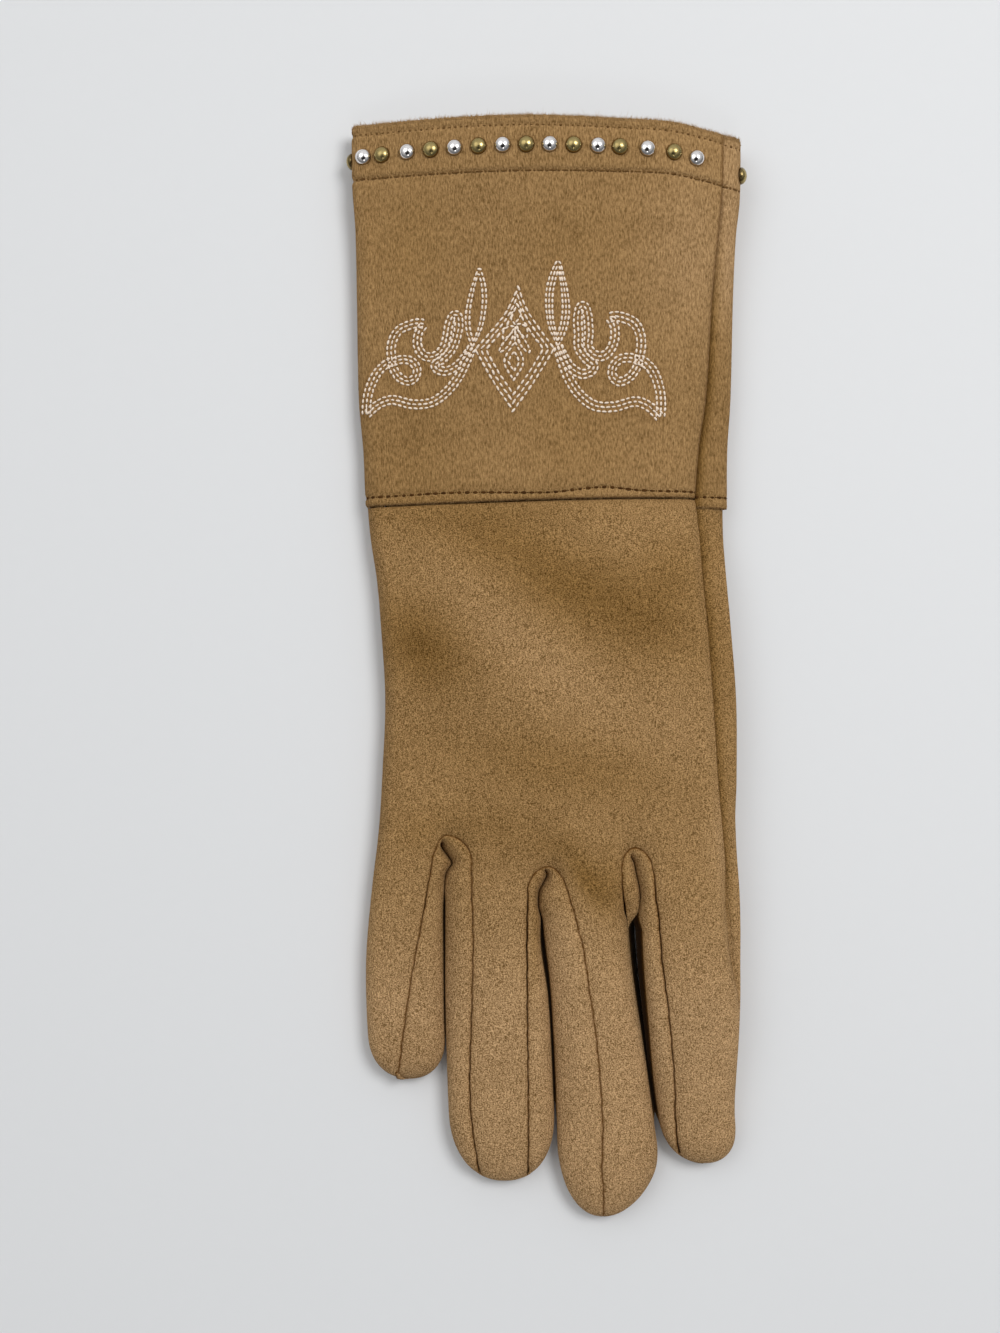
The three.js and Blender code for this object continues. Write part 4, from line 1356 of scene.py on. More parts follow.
@dataclass
class Thumb:
    """The thumb's own tube, pressed flat under the palm."""

    table: Table = Table(
        ("y", "centre", "half"),
        (
            (18.6, 35.2, 3.6),
            (17.4, 35.2, 6.4),
            (14.5, 35.3, 8.6),
            (8.5, 35.6, 10.0),
            (-12.0, 36.4, 10.6),
            (-42.0, 36.6, 10.0),
            (-54.3, 37.9, 10.0),
            (-66.8, 38.5, 10.0),
            (-88.3, 38.7, 9.8),
        ),
    )
    cut: Pair = (46.0, 120.0)
    tip_length: float = 14.0
    root_y: float = 14.5
    root_length: float = 4.2
    around: int = 49
    patches: list[Patch] = field(default_factory=list)

    def build(self) -> bpy.types.Object:
        """Make the tube.

        Each section is the superellipse x = c + a sgn(cos t) |cos t|^0.75, z = h (1 + f sin t), a little
        flatter at its sides, where the half width a and the flatness f fall to 0 at both ends.
        """
        turn = np.radians(np.linspace(0.0, 88.5, 20))
        start = np.radians(np.linspace(88.0, 10.0, 12))
        tip_y = self.table.last + self.tip_length
        y = np.concatenate(
            [
                self.root_y + self.root_length * np.sin(start),
                np.linspace(self.root_y, tip_y + 1.0, 60),
                self.table.last + self.tip_length * (1.0 - np.sin(turn)),
            ]
        )
        share = np.clip((tip_y - y) / self.tip_length, 0.0, BLUNT)
        root = np.clip((y - self.root_y) / (self.root_length + 0.01), 0.0, BLUNT)
        narrow = (1.0 - share**2.2) ** (1 / 2.2) * np.sqrt(1.0 - root**2)
        flat = np.sqrt(1.0 - share**4) * np.sqrt(1.0 - root**4)
        half = self.table.at("half", np.minimum(y, 10.0)) * narrow
        around = np.linspace(0.0, 2.0 * np.pi, self.around)[None, :]
        across = np.sign(np.cos(around)) * np.abs(np.cos(around)) ** 0.75
        x = self.table.at("centre", y)[:, None] + half[:, None] * across
        z = THUMB_THICK / 2.0 * (1.0 + flat[:, None] * np.sin(around) * (1.0 - 0.06 * across**2))
        points = np.stack([x, np.repeat(y[:, None], self.around, axis=1), z], axis=-1)
        self.patches = [Patch(points, np.zeros(x.shape))]
        return thicken(mesh_object("folded_thumb", self.patches), THUMB_CLOTH)


# The cuff


@dataclass
class Cuff:
    """The gauntlet cuff's two panels, with the turned hem at its mouth."""

    mouth_y: float = 137.3
    hem_y: float = 123.5
    end_y: float = 42.8
    stitch_y: float = 45.4
    hem_stitch_y: float = 134.6
    back_cut: Pair = (104.0, 98.0)
    palm_cut: Pair = (106.0, 98.0)
    left_turn: Pair = (4.6, 4.4)
    right_turn: Pair = (4.4, 4.6)
    hem_rise: float = 0.35
    patches: list[Patch] = field(default_factory=list)

    def rows(self) -> Array:
        """Rows from the mouth to the wrist, close together at the stitches and at both ends."""
        beside = np.array([-0.8, -0.45, -0.2, 0.0, 0.2, 0.45, 0.8])
        near = [
            self.mouth_y - np.array([0.0, 0.12, 0.3, 0.55, 0.9, 1.4]),
            self.hem_stitch_y + beside,
            self.hem_y + np.array([-1.5, -0.9, -0.5, -0.2, 0.0, 0.2, 0.5, 0.9, 1.5]),
            self.stitch_y + beside,
            self.end_y + np.array([0.0, 0.1, 0.25, 0.45, 0.8]),
        ]
        even = np.linspace(self.end_y, self.mouth_y, 86)
        return np.unique(np.round(np.concatenate([even, *near]), 3))[::-1]

    def top(self, x: Array, y: Array) -> Array:
        """Height of the back of the cuff: the crowned back with slight swells and a raised hem."""
        hem = self.hem_rise * smoothstep(self.hem_y - 0.6, self.hem_y + 0.9, y)
        return crowned(CUFF, x, y) + hills(x, y, CUFF_SWELLS) + hem - 0.5

    @staticmethod
    def side_step(y: Array) -> Array:
        """How far the back's free edge falls at the side seam: flat in the hem, deeper towards the wrist."""
        return 0.5 + 1.1 * smoothstep(122.0, 84.0, y)

    def settled(self, x: Array, y: Array) -> Array:
        """The y of the finished back: the mouth sags, the wrist line slopes and its stitches wander."""
        rise = wrist_rise(x) * smoothstep(54.0, self.end_y, y)
        near = np.exp(-(((y - self.stitch_y) / 1.3) ** 2))
        return y - mouth_drop(x, y) + rise - WRIST_STITCHES.at("sag", x) * near

    def groove_shade(self, y: Array) -> Array:
        """How much painted shade lies in the grooves of the rows of stitches and along the lower edge."""
        rows = ((self.hem_stitch_y, 0.08), (self.hem_y, 0.12), (self.stitch_y, 0.16))
        dark = sum(weight * np.exp(-(((y - row) / 0.3) ** 2)) for row, weight in rows)
        return dark + 0.9 * np.exp(-(((y - self.end_y) / 0.2) ** 2))

    def relief(self, y: Array) -> Array:
        """How deep the rows of stitches and the folded ends press into the cloth."""
        rows = (self.hem_stitch_y, self.hem_y, self.stitch_y)
        stitched = sum(0.3 * np.exp(-((np.abs(y - row) / 0.62) ** 3)) for row in rows)
        mouth = 1.1 * np.exp(-(self.mouth_y - y) / 0.35)
        end = 0.9 * np.exp(-(y - self.end_y) / 0.22)
        return stitched + mouth + end

    def skin(self, x: Array, y: Array) -> Array:
        """Height of the finished back, which falls to the left fold as an ellipse."""
        width, rise = self.left_turn
        shoulder, fold_z = CUFF.at("left", y) + width, cuff_under(y) + rise
        inside = np.maximum(x, shoulder)
        over = np.clip((shoulder - x) / width, 0.0, 0.97)
        return fold_z + (self.top(inside, y) - fold_z) * np.sqrt(1.0 - over**2) - self.relief(y)

    def normal(self, x: Array, y: Array) -> Array:
        """The outward unit vector of the finished back, from differences over 0.4 mm."""
        h = 0.2
        dx = (self.skin(x + h, y) - self.skin(x - h, y)) / (2.0 * h)
        dy = (self.skin(x, y + h) - self.skin(x, y - h)) / (2.0 * h)
        return unit(np.stack([-dx, -dy, np.ones_like(dx)], axis=1))

    def back_panel(self) -> bpy.types.Object:
        """The back: from the hidden seam under the left fold, up round it and across to the side seam."""
        v = self.rows()[:, None]
        turning, flat = 22, 66
        width, rise = self.left_turn
        under = cuff_under(v)
        fold_z, shoulder_x = under + rise, CUFF.at("left", v) + width
        angle = turn_up(turning)
        height = np.where(angle < 0, fold_z - under, self.top(shoulder_x, v) - fold_z)
        x_turn, z_turn = shoulder_x - width * np.cos(angle), fold_z + height * np.sin(angle)
        x_flat = mix(shoulder_x, CUFF.at("seam", v), end_spacing(flat, 0.6))
        z_flat = self.top(x_flat, np.repeat(v, flat, axis=1))
        x, z = np.concatenate([x_turn, x_flat], axis=1), np.concatenate([z_turn, z_flat], axis=1)
        y = np.repeat(v, x.shape[1], axis=1)
        distance = np.abs(CUFF.at("seam", y) - x)
        inward_x = np.concatenate([np.cos(angle), np.zeros((1, flat))], axis=1)
        inward_z = np.concatenate([-np.sin(angle), -np.ones((1, flat))], axis=1)
        depth = self.relief(y)
        x, z = x + inward_x * depth, z + inward_z * depth - self.side_step(y) * edge_fall(distance)
        # Painted shade on the cloth round the ornament's stitches
        beside = 0.32 * np.exp(-((seam_distance(x, y, Ornament().outline()) / 1.25) ** 4))
        seam = np.maximum(0.7 * seam_shade(distance, y), np.maximum(self.groove_shade(y), beside))
        patch = Patch(np.stack([x, self.settled(x, y), z], axis=-1), seam)
        self.patches.append(patch)
        return thicken(mesh_object("cuff_outside", [patch], outward=False), CUFF_CLOTH)

    def palm_panel(self) -> bpy.types.Object:
        """The underside: from the hidden seam on the left, across, and up the right to the side seam."""
        v = self.rows()[:, None]
        width, rise = self.right_turn
        under = cuff_under(v)
        fold_x, seam_x, fold_z = CUFF.at("right", v), CUFF.at("seam", v), under + rise
        seam_z = self.top(seam_x, v) - self.side_step(v) - mix(1.0, 0.75, smoothstep(116.0, 124.0, v))
        x_flat = mix(CUFF.at("left", v) + 4.9, fold_x - width, np.linspace(0.0, 1.0, 40)[None, :-1])
        turn = quarter_turn(12)
        x_low, z_low = fold_x - width + width * np.sin(turn), fold_z - (fold_z - under) * np.cos(turn)
        turn = end_spacing(24, 0.4) * QUARTER
        x_up, z_up = seam_x + (fold_x - seam_x) * np.cos(turn), fold_z + (seam_z - fold_z) * np.sin(turn)
        x = np.concatenate([x_flat, x_low, x_up], axis=1)
        z = np.concatenate([np.broadcast_to(under, x_flat.shape), z_low, z_up], axis=1)
        y = np.repeat(v, x.shape[1], axis=1)
        distance = np.abs(x - seam_x) + np.where(z < fold_z, FAR, 0.0)
        inward = np.where(z < fold_z, 1.0, -1.0)
        z = z + inward * self.relief(y) * 0.7 - 0.3 * smoothstep(126.0, 118.0, y) * edge_fall(distance * 3.0)
        lower = 1.5 * smoothstep(58.0, self.end_y, y)
        shade = np.maximum(0.7 * seam_shade(distance, y), self.groove_shade(y))
        # Painted shade and light: the upturned strip is darker, darker still beside the side seam in the
        # shadow of the back's edge, and lighter towards the mouth
        below = 0.42 * smoothstep(124.0, 88.0, y) * np.exp(-((distance / 1.8) ** 2))
        tone = 1.0 - smoothstep(0.0, 2.0, z - fold_z) * (0.06 + below - 0.23 * smoothstep(76.0, 104.0, y))
        patch = Patch(np.stack([x, y - mouth_drop(x, y) - lower, z], axis=-1), shade, None, tone)
        self.patches.append(patch)
        return thicken(mesh_object("cuff_inside", [patch]), CUFF_CLOTH)


# Studs, stitches and the stitched ornament


def resampled(points: Array, step: float, reach: float = 0.15) -> tuple[Array, Array]:
    """Even steps along a polyline.

    Args:
        points: its corners, one row each.
        step: the length to step, stretched a little to fit a whole number of times.
        reach: how far to each side of a place its direction is measured.

    Returns:
        The middle of each step, and the unit direction there.
    """
    length = path_length(points)
    count = max(int(round(length[-1] / step)), 1)
    middle = (np.arange(count) + 0.5) * length[-1] / count

    def read(where: Array) -> Array:
        """The polyline's point at each length."""
        return np.stack([np.interp(where, length, column) for column in points.T], axis=1)

    run = read(np.minimum(middle + reach, length[-1])) - read(np.maximum(middle - reach, 0.0))
    return read(middle), unit(run)


def smooth_line(points: Array, samples: int = 24) -> Array:
    """A centripetal Catmull-Rom line through points.

    Each piece is a cubic Hermite curve in a parameter that grows by the square root of the chord, with the
    slope at each point the chord of its two neighbours over their parameters.
    """
    knots = np.concatenate([[0.0], np.cumsum(np.linalg.norm(np.diff(points, axis=0), axis=1) ** 0.5)])
    slope = chord_slopes(knots, points)
    span = np.diff(knots)[:, None, None]
    start, leaving, end, arriving = hermite(np.linspace(0.0, 1.0, samples, endpoint=False)[None, :, None])
    line = start * points[:-1, None] + leaving * (slope[:-1, None] * span)
    line = line + end * points[1:, None] + arriving * (slope[1:, None] * span)
    return np.concatenate([line.reshape(-1, points.shape[1]), points[-1:]])


def grains(
    name: str, centre: Array, along: Array, up: Array, size: Sequence[Array | float]
) -> bpy.types.Object:
    """Many small ellipsoids in one mesh, such as stitches.

    Args:
        name: the object's name.
        centre: their centres, in mm.
        along: their long axes, as unit vectors.
        up: the cloth's outward directions, as unit vectors.
        size: half the length, half the width and half the height, each a number or one for every grain.

    Returns:
        The object. A grain is a ring of 6 points at three stations along it, and a point at each end.
    """
    turn, lengthwise = np.radians(np.arange(0.0, 360.0, 60.0)), np.radians([-48.0, 0.0, 48.0])
    ring = np.stack(
        [
            np.repeat(np.sin(lengthwise), 6),
            np.outer(np.cos(lengthwise), np.cos(turn)).ravel(),
            np.outer(np.cos(lengthwise), np.sin(turn)).ravel(),
        ],
        axis=1,
    )
    shape = np.concatenate([[[-1.0, 0.0, 0.0]], ring, [[1.0, 0.0, 0.0]]])
    sizes = np.stack([np.broadcast_to(value, len(centre)) for value in size], axis=1)
    axes = np.stack([along, np.cross(up, along), up], axis=1) * sizes[..., None]
    points = centre[:, None, :] + shape[None] @ axes
    here, ahead = np.arange(6), np.roll(np.arange(6), -1)
    first, second, last = (np.stack([here, ahead], axis=1) + start for start in (1, 7, 13))
    tip, tail = np.zeros(6, int), np.full(6, 19)
    ends = [np.stack([tip, *first.T[::-1]], axis=1), np.stack([tail, *last.T], axis=1)]
    walls = [np.concatenate([near, far[:, ::-1]], axis=1) for near, far in ((first, second), (second, last))]
    starts = np.arange(len(centre))[:, None, None] * len(shape)
    faces = (np.concatenate(ends)[None] + starts).reshape(-1, 3).tolist()
    faces += (np.concatenate(walls)[None] + starts).reshape(-1, 4).tolist()
    mesh = bpy.data.meshes.new(name)
    mesh.from_pydata((points.reshape(-1, 3) * MM).tolist(), [], faces)
    mesh.shade_smooth()
    return linked(name, mesh)


@dataclass(frozen=True)
class Strand:
    """A line of the ornament's left half, in mm from its middle, with rows of stitches beside it."""

    points: tuple[Pair, ...]
    rows: tuple[float, ...] = (-1.0, 0.0, 1.0)
    right_rise: float = 1.0
    right_shift: float = 0.0

    def lines(self, side: int) -> list[Array]:
        """The rows, each the smooth line moved sideways by its offset. The right half's may stand higher."""
        line = smooth_line(np.array(self.points))
        if side > 0:
            shift = self.right_shift * smoothstep(0.0, 4.0, line[:, 1]) * smoothstep(20.5, 17.5, line[:, 0])
            line = np.stack([line[:, 0] + shift, line[:, 1] * self.right_rise], axis=1)
        run = unit(np.gradient(line, axis=0))
        sideways = np.stack([-run[:, 1], run[:, 0]], axis=1)
        return [line + sideways * row for row in self.rows]


LOWER_BAND = Strand(
    ((10.3, 1.2), (11.8, -2.5), (13.6, -6.4), (16.6, -10.1), (20.2, -12.3), (24.8, -12.5), (29.8, -11.3),
     (33.2, -12.3), (36.2, -14.8))
)
OUTER_SIDE = Strand(((36.2, -14.8), (36.2, -11.3), (35.6, -8.1), (34.1, -4.7), (32.2, -2.7), (30.3, -1.7)))
SMALL_LOOP = Strand(
    ((30.3, -2.0), (28.1, -1.4), (25.6, -1.8), (24.0, -3.7), (24.2, -5.7), (25.8, -6.8), (28.1, -5.9),
     (29.7, -3.9), (30.5, -2.0)),
    (-0.9, 0.0, 0.9),
)
HOOK = Strand(
    ((30.3, -1.7), (30.7, 1.2), (30.3, 3.7), (28.9, 5.9), (26.5, 7.0), (24.1, 7.4), (22.6, 7.1)),
    right_rise=1.06,
)
INNER_WAVE = Strand(
    ((22.8, 6.9), (24.0, 4.9), (24.1, 2.2), (23.0, 0.0), (21.2, -1.0), (19.0, -0.5), (17.4, 1.5), (16.8, 4.2),
     (16.4, 6.9), (15.5, 8.9), (14.4, 8.7), (14.0, 6.4), (14.5, 3.2), (15.6, 0.5), (17.7, -1.7), (19.4, -3.0),
     (18.6, -4.2), (16.4, -4.6), (13.7, -3.2), (11.9, -1.0), (10.3, 1.2)),
    (-0.95, 0.0, 0.95),
    1.11,
    1.0,
)
TALL_LOOP = ((10.3, 1.2), (11.6, 4.9), (12.0, 8.9), (11.6, 12.8), (10.8, 16.5), (9.7, 19.9), (8.5, 17.0),
             (7.9, 13.3), (8.0, 9.6), (8.6, 5.7), (10.3, 1.2))
DIAMOND = ((0.0, 14.8), (3.0, 8.6), (9.6, 0.5), (4.9, -7.2), (0.0, -14.0))
SHORT_LEAF = ((0.1, 6.0), (1.8, 5.9), (2.9, 4.7), (2.8, 3.0), (1.7, 3.5), (0.5, 4.9))
LONG_LEAF = ((0.2, 5.7), (1.7, 3.3), (3.2, 1.3), (3.7, -0.2), (2.6, 0.2), (1.3, 1.6), (0.4, 3.9))
MIDDLE_LEAF = ((0.0, 5.6), (0.1, 3.9), (0.0, 2.2))
SMALL_RING = ((0.0, 10.8), (1.3, 8.5), (0.0, 6.2))
SMALL_DIAMOND = ((0.0, 2.2), (2.3, -2.5), (0.0, -6.9))
SMALLEST_DIAMOND = ((0.0, 0.0), (1.2, -2.5), (0.0, -4.7))


@dataclass(frozen=True)
class Ornament:
    """The stitched scrolls on the cuff: a diamond between two mirrored halves."""

    middle: Pair = (-7.9, 79.5)
    curve_pitch: float = 1.38
    straight_pitch: float = 1.75
    stitch: tuple[float, float, float] = (0.41, 0.29, 0.24)
    lift: float = 0.1
    lean: float = 0.05
    right_stretch: Pair = (1.02, 1.09)
    loop_heart: Pair = (9.9, 10.5)
    left_nests: tuple[Pair, ...] = ((1.18, 1.02), (0.74, 0.88))
    right_nests: tuple[Pair, ...] = ((1.4, 1.02), (1.02, 0.9), (0.62, 0.78))
    seed: int = 7

    def curves(self, side: int) -> list[Array]:
        """The curved rows of one half, with nested rows in its tall loop."""
        strands = (LOWER_BAND, OUTER_SIDE, SMALL_LOOP, HOOK, INNER_WAVE)
        lines = [line for strand in strands for line in strand.lines(side)]
        heart = np.array(self.loop_heart)
        for nest in self.left_nests if side < 0 else self.right_nests:
            lines.append(smooth_line((np.array(TALL_LOOP) - heart) * nest + heart))
        for shape in (SHORT_LEAF, LONG_LEAF, MIDDLE_LEAF, SMALL_RING, SMALL_DIAMOND, SMALLEST_DIAMOND):
            lines.append(smooth_line(np.array(shape)))
        return lines

    def straights(self) -> list[Array]:
        """The nested rows of one half of the diamond."""
        parts, middle = (np.array(DIAMOND[:3]), np.array(DIAMOND[2:])), np.array([0.0, 0.2])
        scales = (1.0, 0.865, 0.73)
        return [smooth_line((part - middle) * scale + middle) for scale in scales for part in parts]

    def outline(self) -> list[Array]:
        """Every row with few corners, to find the cloth near the stitches."""
        halves = [(side, self.curves(side) + self.straights()) for side in (-1, 1)]
        return [self.place(line, side)[::9] for side, lines in halves for line in lines]

    def place(self, line: Array, side: int) -> Array:
        """Move a row from the ornament's own middle onto the cuff, mirrored for the right half."""
        wider, taller = self.right_stretch if side > 0 else (1.0, 1.0)
        x = self.middle[0] + side * line[:, 0] * wider + self.lean * line[:, 1]
        return np.stack([x, self.middle[1] + line[:, 1] * taller], axis=1)

    def build(self, cuff: Cuff) -> bpy.types.Object:
        """Stitch every row onto the cuff, each stitch lying along its row and slightly sunk."""
        rng = np.random.default_rng(self.seed)
        kinds = [(self.curve_pitch, self.curves), (self.straight_pitch, lambda side: self.straights())]
        steps, pitches = [], []
        for side in (-1, 1):
            for pitch, rows in kinds:
                for row in rows(side):
                    steps.append(resampled(self.place(row, side), pitch))
                    pitches.append(np.full(len(steps[-1][0]), pitch))
        xy = np.concatenate([middle for middle, _ in steps])
        run = np.concatenate([direction for _, direction in steps])
        up = cuff.normal(xy[:, 0], xy[:, 1])
        turn = rng.normal(0.0, 0.09, len(xy))
        run = np.stack([run[:, 0] - turn * run[:, 1], run[:, 1] + turn * run[:, 0]], axis=1)
        along = np.concatenate([run, np.zeros((len(xy), 1))], axis=1)
        along = unit(along - (along * up).sum(axis=1, keepdims=True) * up)
        centre = np.stack([xy[:, 0], xy[:, 1], cuff.skin(xy[:, 0], xy[:, 1])], axis=1) + up * self.lift
        length, width, height = self.stitch
        half_length = length * np.concatenate(pitches) * (1.0 + rng.normal(0.0, 0.07, len(xy)))
        half_width = width * (1.0 + rng.normal(0.0, 0.1, len(xy)))
        return grains("ornament", centre, along, up, (half_length, half_width, height))


@dataclass(frozen=True)
class Sewing:
    """A row of tone-on-tone stitches in a groove of the cuff, right round it, with a dot at each hole."""

    name: str
    y: float
    pitch: float
    stitch: tuple[float, float, float]
    dot: tuple[float, float, float]
    steepest: float = 0.45  # the least z of the cloth's unit normal under a stitch
    lift: float = 0.06
    seed: int = 5

    def build(self, cuff: Cuff) -> bpy.types.Object:
        """Lay stitches along both panels' rows nearest the groove, but not on the steep folds."""
        centres, runs, ups = [], [], []
        i = int(np.abs(cuff.rows() - self.y).argmin())
        for patch, turn in zip(cuff.patches, (-1.0, 1.0)):
            row = patch.points[i]
            normal = turn * unit(np.cross(np.diff(row, axis=0), (patch.points[i + 1] - row)[:-1]))
            middle, run = resampled(row, self.pitch / 2.0)
            nearest = ((row[None, :-1] - middle[:, None]) ** 2).sum(axis=2).argmin(axis=1)
            level = np.abs(normal[nearest, 2]) > self.steepest
            centres.append(middle[level])
            runs.append(run[level])
            ups.append(normal[nearest][level])
        up, along, centre = np.concatenate(ups), np.concatenate(runs), np.concatenate(centres)
        up = unit(up - (up * along).sum(axis=1, keepdims=True) * along)
        size = np.where(np.arange(len(centre))[:, None] % 2 == 0, self.stitch, self.dot)
        size = size * np.random.default_rng(self.seed).normal(1.0, 0.12, size.shape)
        return grains(self.name, centre + up * self.lift, along, up, tuple(size.T))


@dataclass(frozen=True)
class Fibres:
    """Short loose fibres of the nap, which stand out along the cuff's mouth and its lower edge."""

    counts: tuple[int, int] = (5200, 700)
    first_columns: tuple[int, int] = (8, 54)
    mouth_rows: int = 6
    lower_rows: int = 4
    lower_share: float = 0.25
    thickness: float = 0.045
    seed: int = 11

    def build(self, cuff: Cuff) -> bpy.types.Object:
        """Scatter fibres along the mouth and the cuff's lower edge as slim three-sided spikes.

        Each starts at a random place on one of the panel's outermost rows, leans out over the edge by a
        random angle, and is a triangle at its foot joined to a point.
        """
        rng = np.random.default_rng(self.seed)
        feet, ends = [], []
        for patch, first, count in zip(cuff.patches, self.first_columns, self.counts):
            rows = patch.points[:, first:]
            at_end = rng.random(count) < self.lower_share
            from_end = rng.integers(0, self.lower_rows, count)
            from_mouth = rng.integers(0, self.mouth_rows, count)
            row = np.where(at_end, -1 - from_end, from_mouth)
            length = path_length(rows[2])
            column = np.interp(rng.uniform(0.0, length[-1], count), length, np.arange(len(length)))
            low = np.minimum(column.astype(int), len(length) - 2)
            feet.append(mix(rows[row, low], rows[row, low + 1], (column - low)[:, None]))
            ends.append(at_end)
        foot, at_mouth = np.concatenate(feet), ~np.concatenate(ends)
        total = len(foot)
        outward = np.where(at_mouth, 1.0, -1.0)
        length = rng.gamma(3.0, 0.18, total) * np.where(at_mouth, 1.0, 0.6)
        lean = rng.normal(0.0, 0.5, total)
        rise = rng.uniform(-0.1, 0.7, total)
        along = unit(np.stack([np.sin(lean), outward * np.cos(lean), rise], axis=1))
        side = unit(np.cross(along, [0.0, 0.0, 1.0]))
        over = np.cross(side, along)
        turn = np.radians([0.0, 120.0, 240.0])[:, None]
        ring = foot[:, None] + self.thickness * (side[:, None] * np.cos(turn) + over[:, None] * np.sin(turn))
        tip = (foot + along * length[:, None])[:, None]
        points = np.concatenate([ring, tip], axis=1).reshape(-1, 3)
        corners = np.array([(0, 1, 3), (1, 2, 3), (2, 0, 3), (2, 1, 0)])
        faces = corners[None] + np.arange(total)[:, None, None] * 4
        mesh = bpy.data.meshes.new("loose_fibres")
        mesh.from_pydata((points * MM).tolist(), [], faces.reshape(-1, 3).tolist())
        return linked("loose_fibres", mesh)


@dataclass(frozen=True)
class Studs:
    """The domed studs round the hem, silver and brass in turn."""

    count: int = 32
    y: float = 129.7
    radii: Pair = (2.08, 2.12)
    height: float = 1.6
    base: float = 0.96  # the foot's radius as a share of the dome's
    depth: float = 0.35
    around: int = 16
    rings: tuple[float, ...] = (8.0, 26.0, 44.0, 60.0, 76.0, 90.0)
    # Share of the painted dark rim, a painted reflection of the cloth and contact shadow, at each ring and
    # the foot
    rim: tuple[float, ...] = (0.0, 0.0, 0.0, 0.2, 0.7, 1.0, 1.0)
    pitch: float = 6.0
    roll: float = 4.4
    bows: Pair = (0.75, 1.4)  # how far the row bends back at half_width from its middle, left and right
    half_width: float = 45.0
    shifts: tuple[float, ...] = (0.75, 0.5, 1.2, 2.1, 1.5, 1.5, 1.35, 1.1, 0.9, 0.9, 0.9, 0.9, 1.0, 1.6, 0.5)
    last_shift: float = 6.2

    def places(self, cuff: Cuff) -> tuple[Array, Array]:
        """Where the studs sit: every 6 mm along the section, from the side seam over the back and underneath.

        The section is the back's height, a quarter ellipse down to each side's fold and back in, and the flat
        underside between. The direction outward is the section's tangent turned a quarter. The studs on the
        back, and the last one, are moved on a little by their own shifts.
        """
        left, right, seam = (float(CUFF.at(column, self.y)) for column in ("left", "right", "seam"))
        under = float(cuff_under(self.y))
        fold = under + self.roll
        back = np.arange(seam - self.pitch, left + self.roll, -0.5)
        shoulder = float(cuff.top(np.array(left + self.roll), np.array(self.y)))

        def arc(centre: float, height: float, start: float, end: float) -> Array:
            """A piece of an ellipse about a fold, from one angle to another."""
            turn = np.radians(np.linspace(start, end, 13))
            return np.stack([centre + self.roll * np.cos(turn), fold + height * np.sin(turn)], axis=1)

        flat = np.arange(left + self.roll + 1.0, right - self.roll, 0.5)
        section = np.concatenate(
            [
                np.stack([back, cuff.top(back, np.full_like(back, self.y))], axis=1),
                arc(left + self.roll, shoulder - fold, 90.0, 180.0),
                arc(left + self.roll, self.roll, 180.0, 270.0),
                np.stack([flat, np.full_like(flat, under)], axis=1),
                arc(right - self.roll, self.roll, 270.0, 372.0),
            ]
        )
        length = path_length(section)
        at = np.arange(self.count) * self.pitch
        at[: len(self.shifts)] += self.shifts
        at[-1] += self.last_shift
        here = np.stack([np.interp(at, length, column) for column in section.T], axis=1)
        ahead = np.stack([np.interp(at + 0.2, length, column) for column in section.T], axis=1)
        run = unit(ahead - here)
        outward = np.stack([run[:, 1], np.zeros(self.count), -run[:, 0]], axis=1)
        bow = np.where(here[:, 0] < 0, *self.bows)
        y = self.y - mouth_drop(here[:, 0], self.y) - bow * (here[:, 0] / self.half_width) ** 2
        return np.stack([here[:, 0], y, here[:, 1]], axis=1), outward

    def dome(self, radius: float) -> tuple[Array, Array]:
        """A dome's rings: r = R sin t, z = h cos t, with a flat rim and a closed base, and its faces."""
        turn = np.radians(self.rings)
        r = np.append(radius * np.sin(turn), radius * self.base)[:, None]
        z = np.append(self.height * np.cos(turn), -self.depth)[:, None]
        around = np.radians(np.arange(self.around) * 360.0 / self.around)
        points = np.stack(np.broadcast_arrays(r * np.cos(around), r * np.sin(around), z), axis=-1)
        index = np.arange(points.shape[0] * self.around).reshape(-1, self.around)
        ahead = np.roll(index, -1, axis=1)
        faces = np.stack([index[:-1], index[1:], ahead[1:], ahead[:-1]], axis=-1).reshape(-1, 4)
        return points.reshape(-1, 3), faces

    def build(self, cuff: Cuff, finish: StudFinish) -> bpy.types.Object:
        """Join one metal's studs in a mesh, give it its metal and hide their nodes."""
        first = 0 if finish is StudFinish.SILVER else 1
        shape, walls = self.dome(self.radii[first])
        caps = [list(range(self.around)), list(range(len(shape) - 1, len(shape) - 1 - self.around, -1))]
        places, outward = self.places(cuff)
        numbers = range(first, self.count, 2)
        points, faces = [], []
        side = np.array([0.0, 1.0, 0.0])
        for k, number in enumerate(numbers):
            up = outward[number]
            points.append(places[number] + shape @ np.stack([np.cross(side, up), side, up]))
            start = k * len(shape)
            faces += (walls + start).tolist() + [[corner + start for corner in cap] for cap in caps]
        metal = finish.value
        slot = metal.name.removeprefix("stud_")
        mesh = bpy.data.meshes.new(f"{slot}_studs")
        mesh.from_pydata((np.concatenate(points) * MM).tolist(), [], faces)
        mesh.shade_smooth()
        # Painted reflection and shadow on each dome's outer rings
        rim = np.tile(np.repeat(self.rim, self.around), len(numbers))
        mesh.attributes.new("rim", "FLOAT", "POINT").data.foreach_set("value", rim)
        nodes = [f"{metal.name}_{number + 1:02d}" for number in numbers]
        return dress(linked(f"{slot}_studs", mesh), metal.make(), slot, *nodes)


# Camera, light and floor


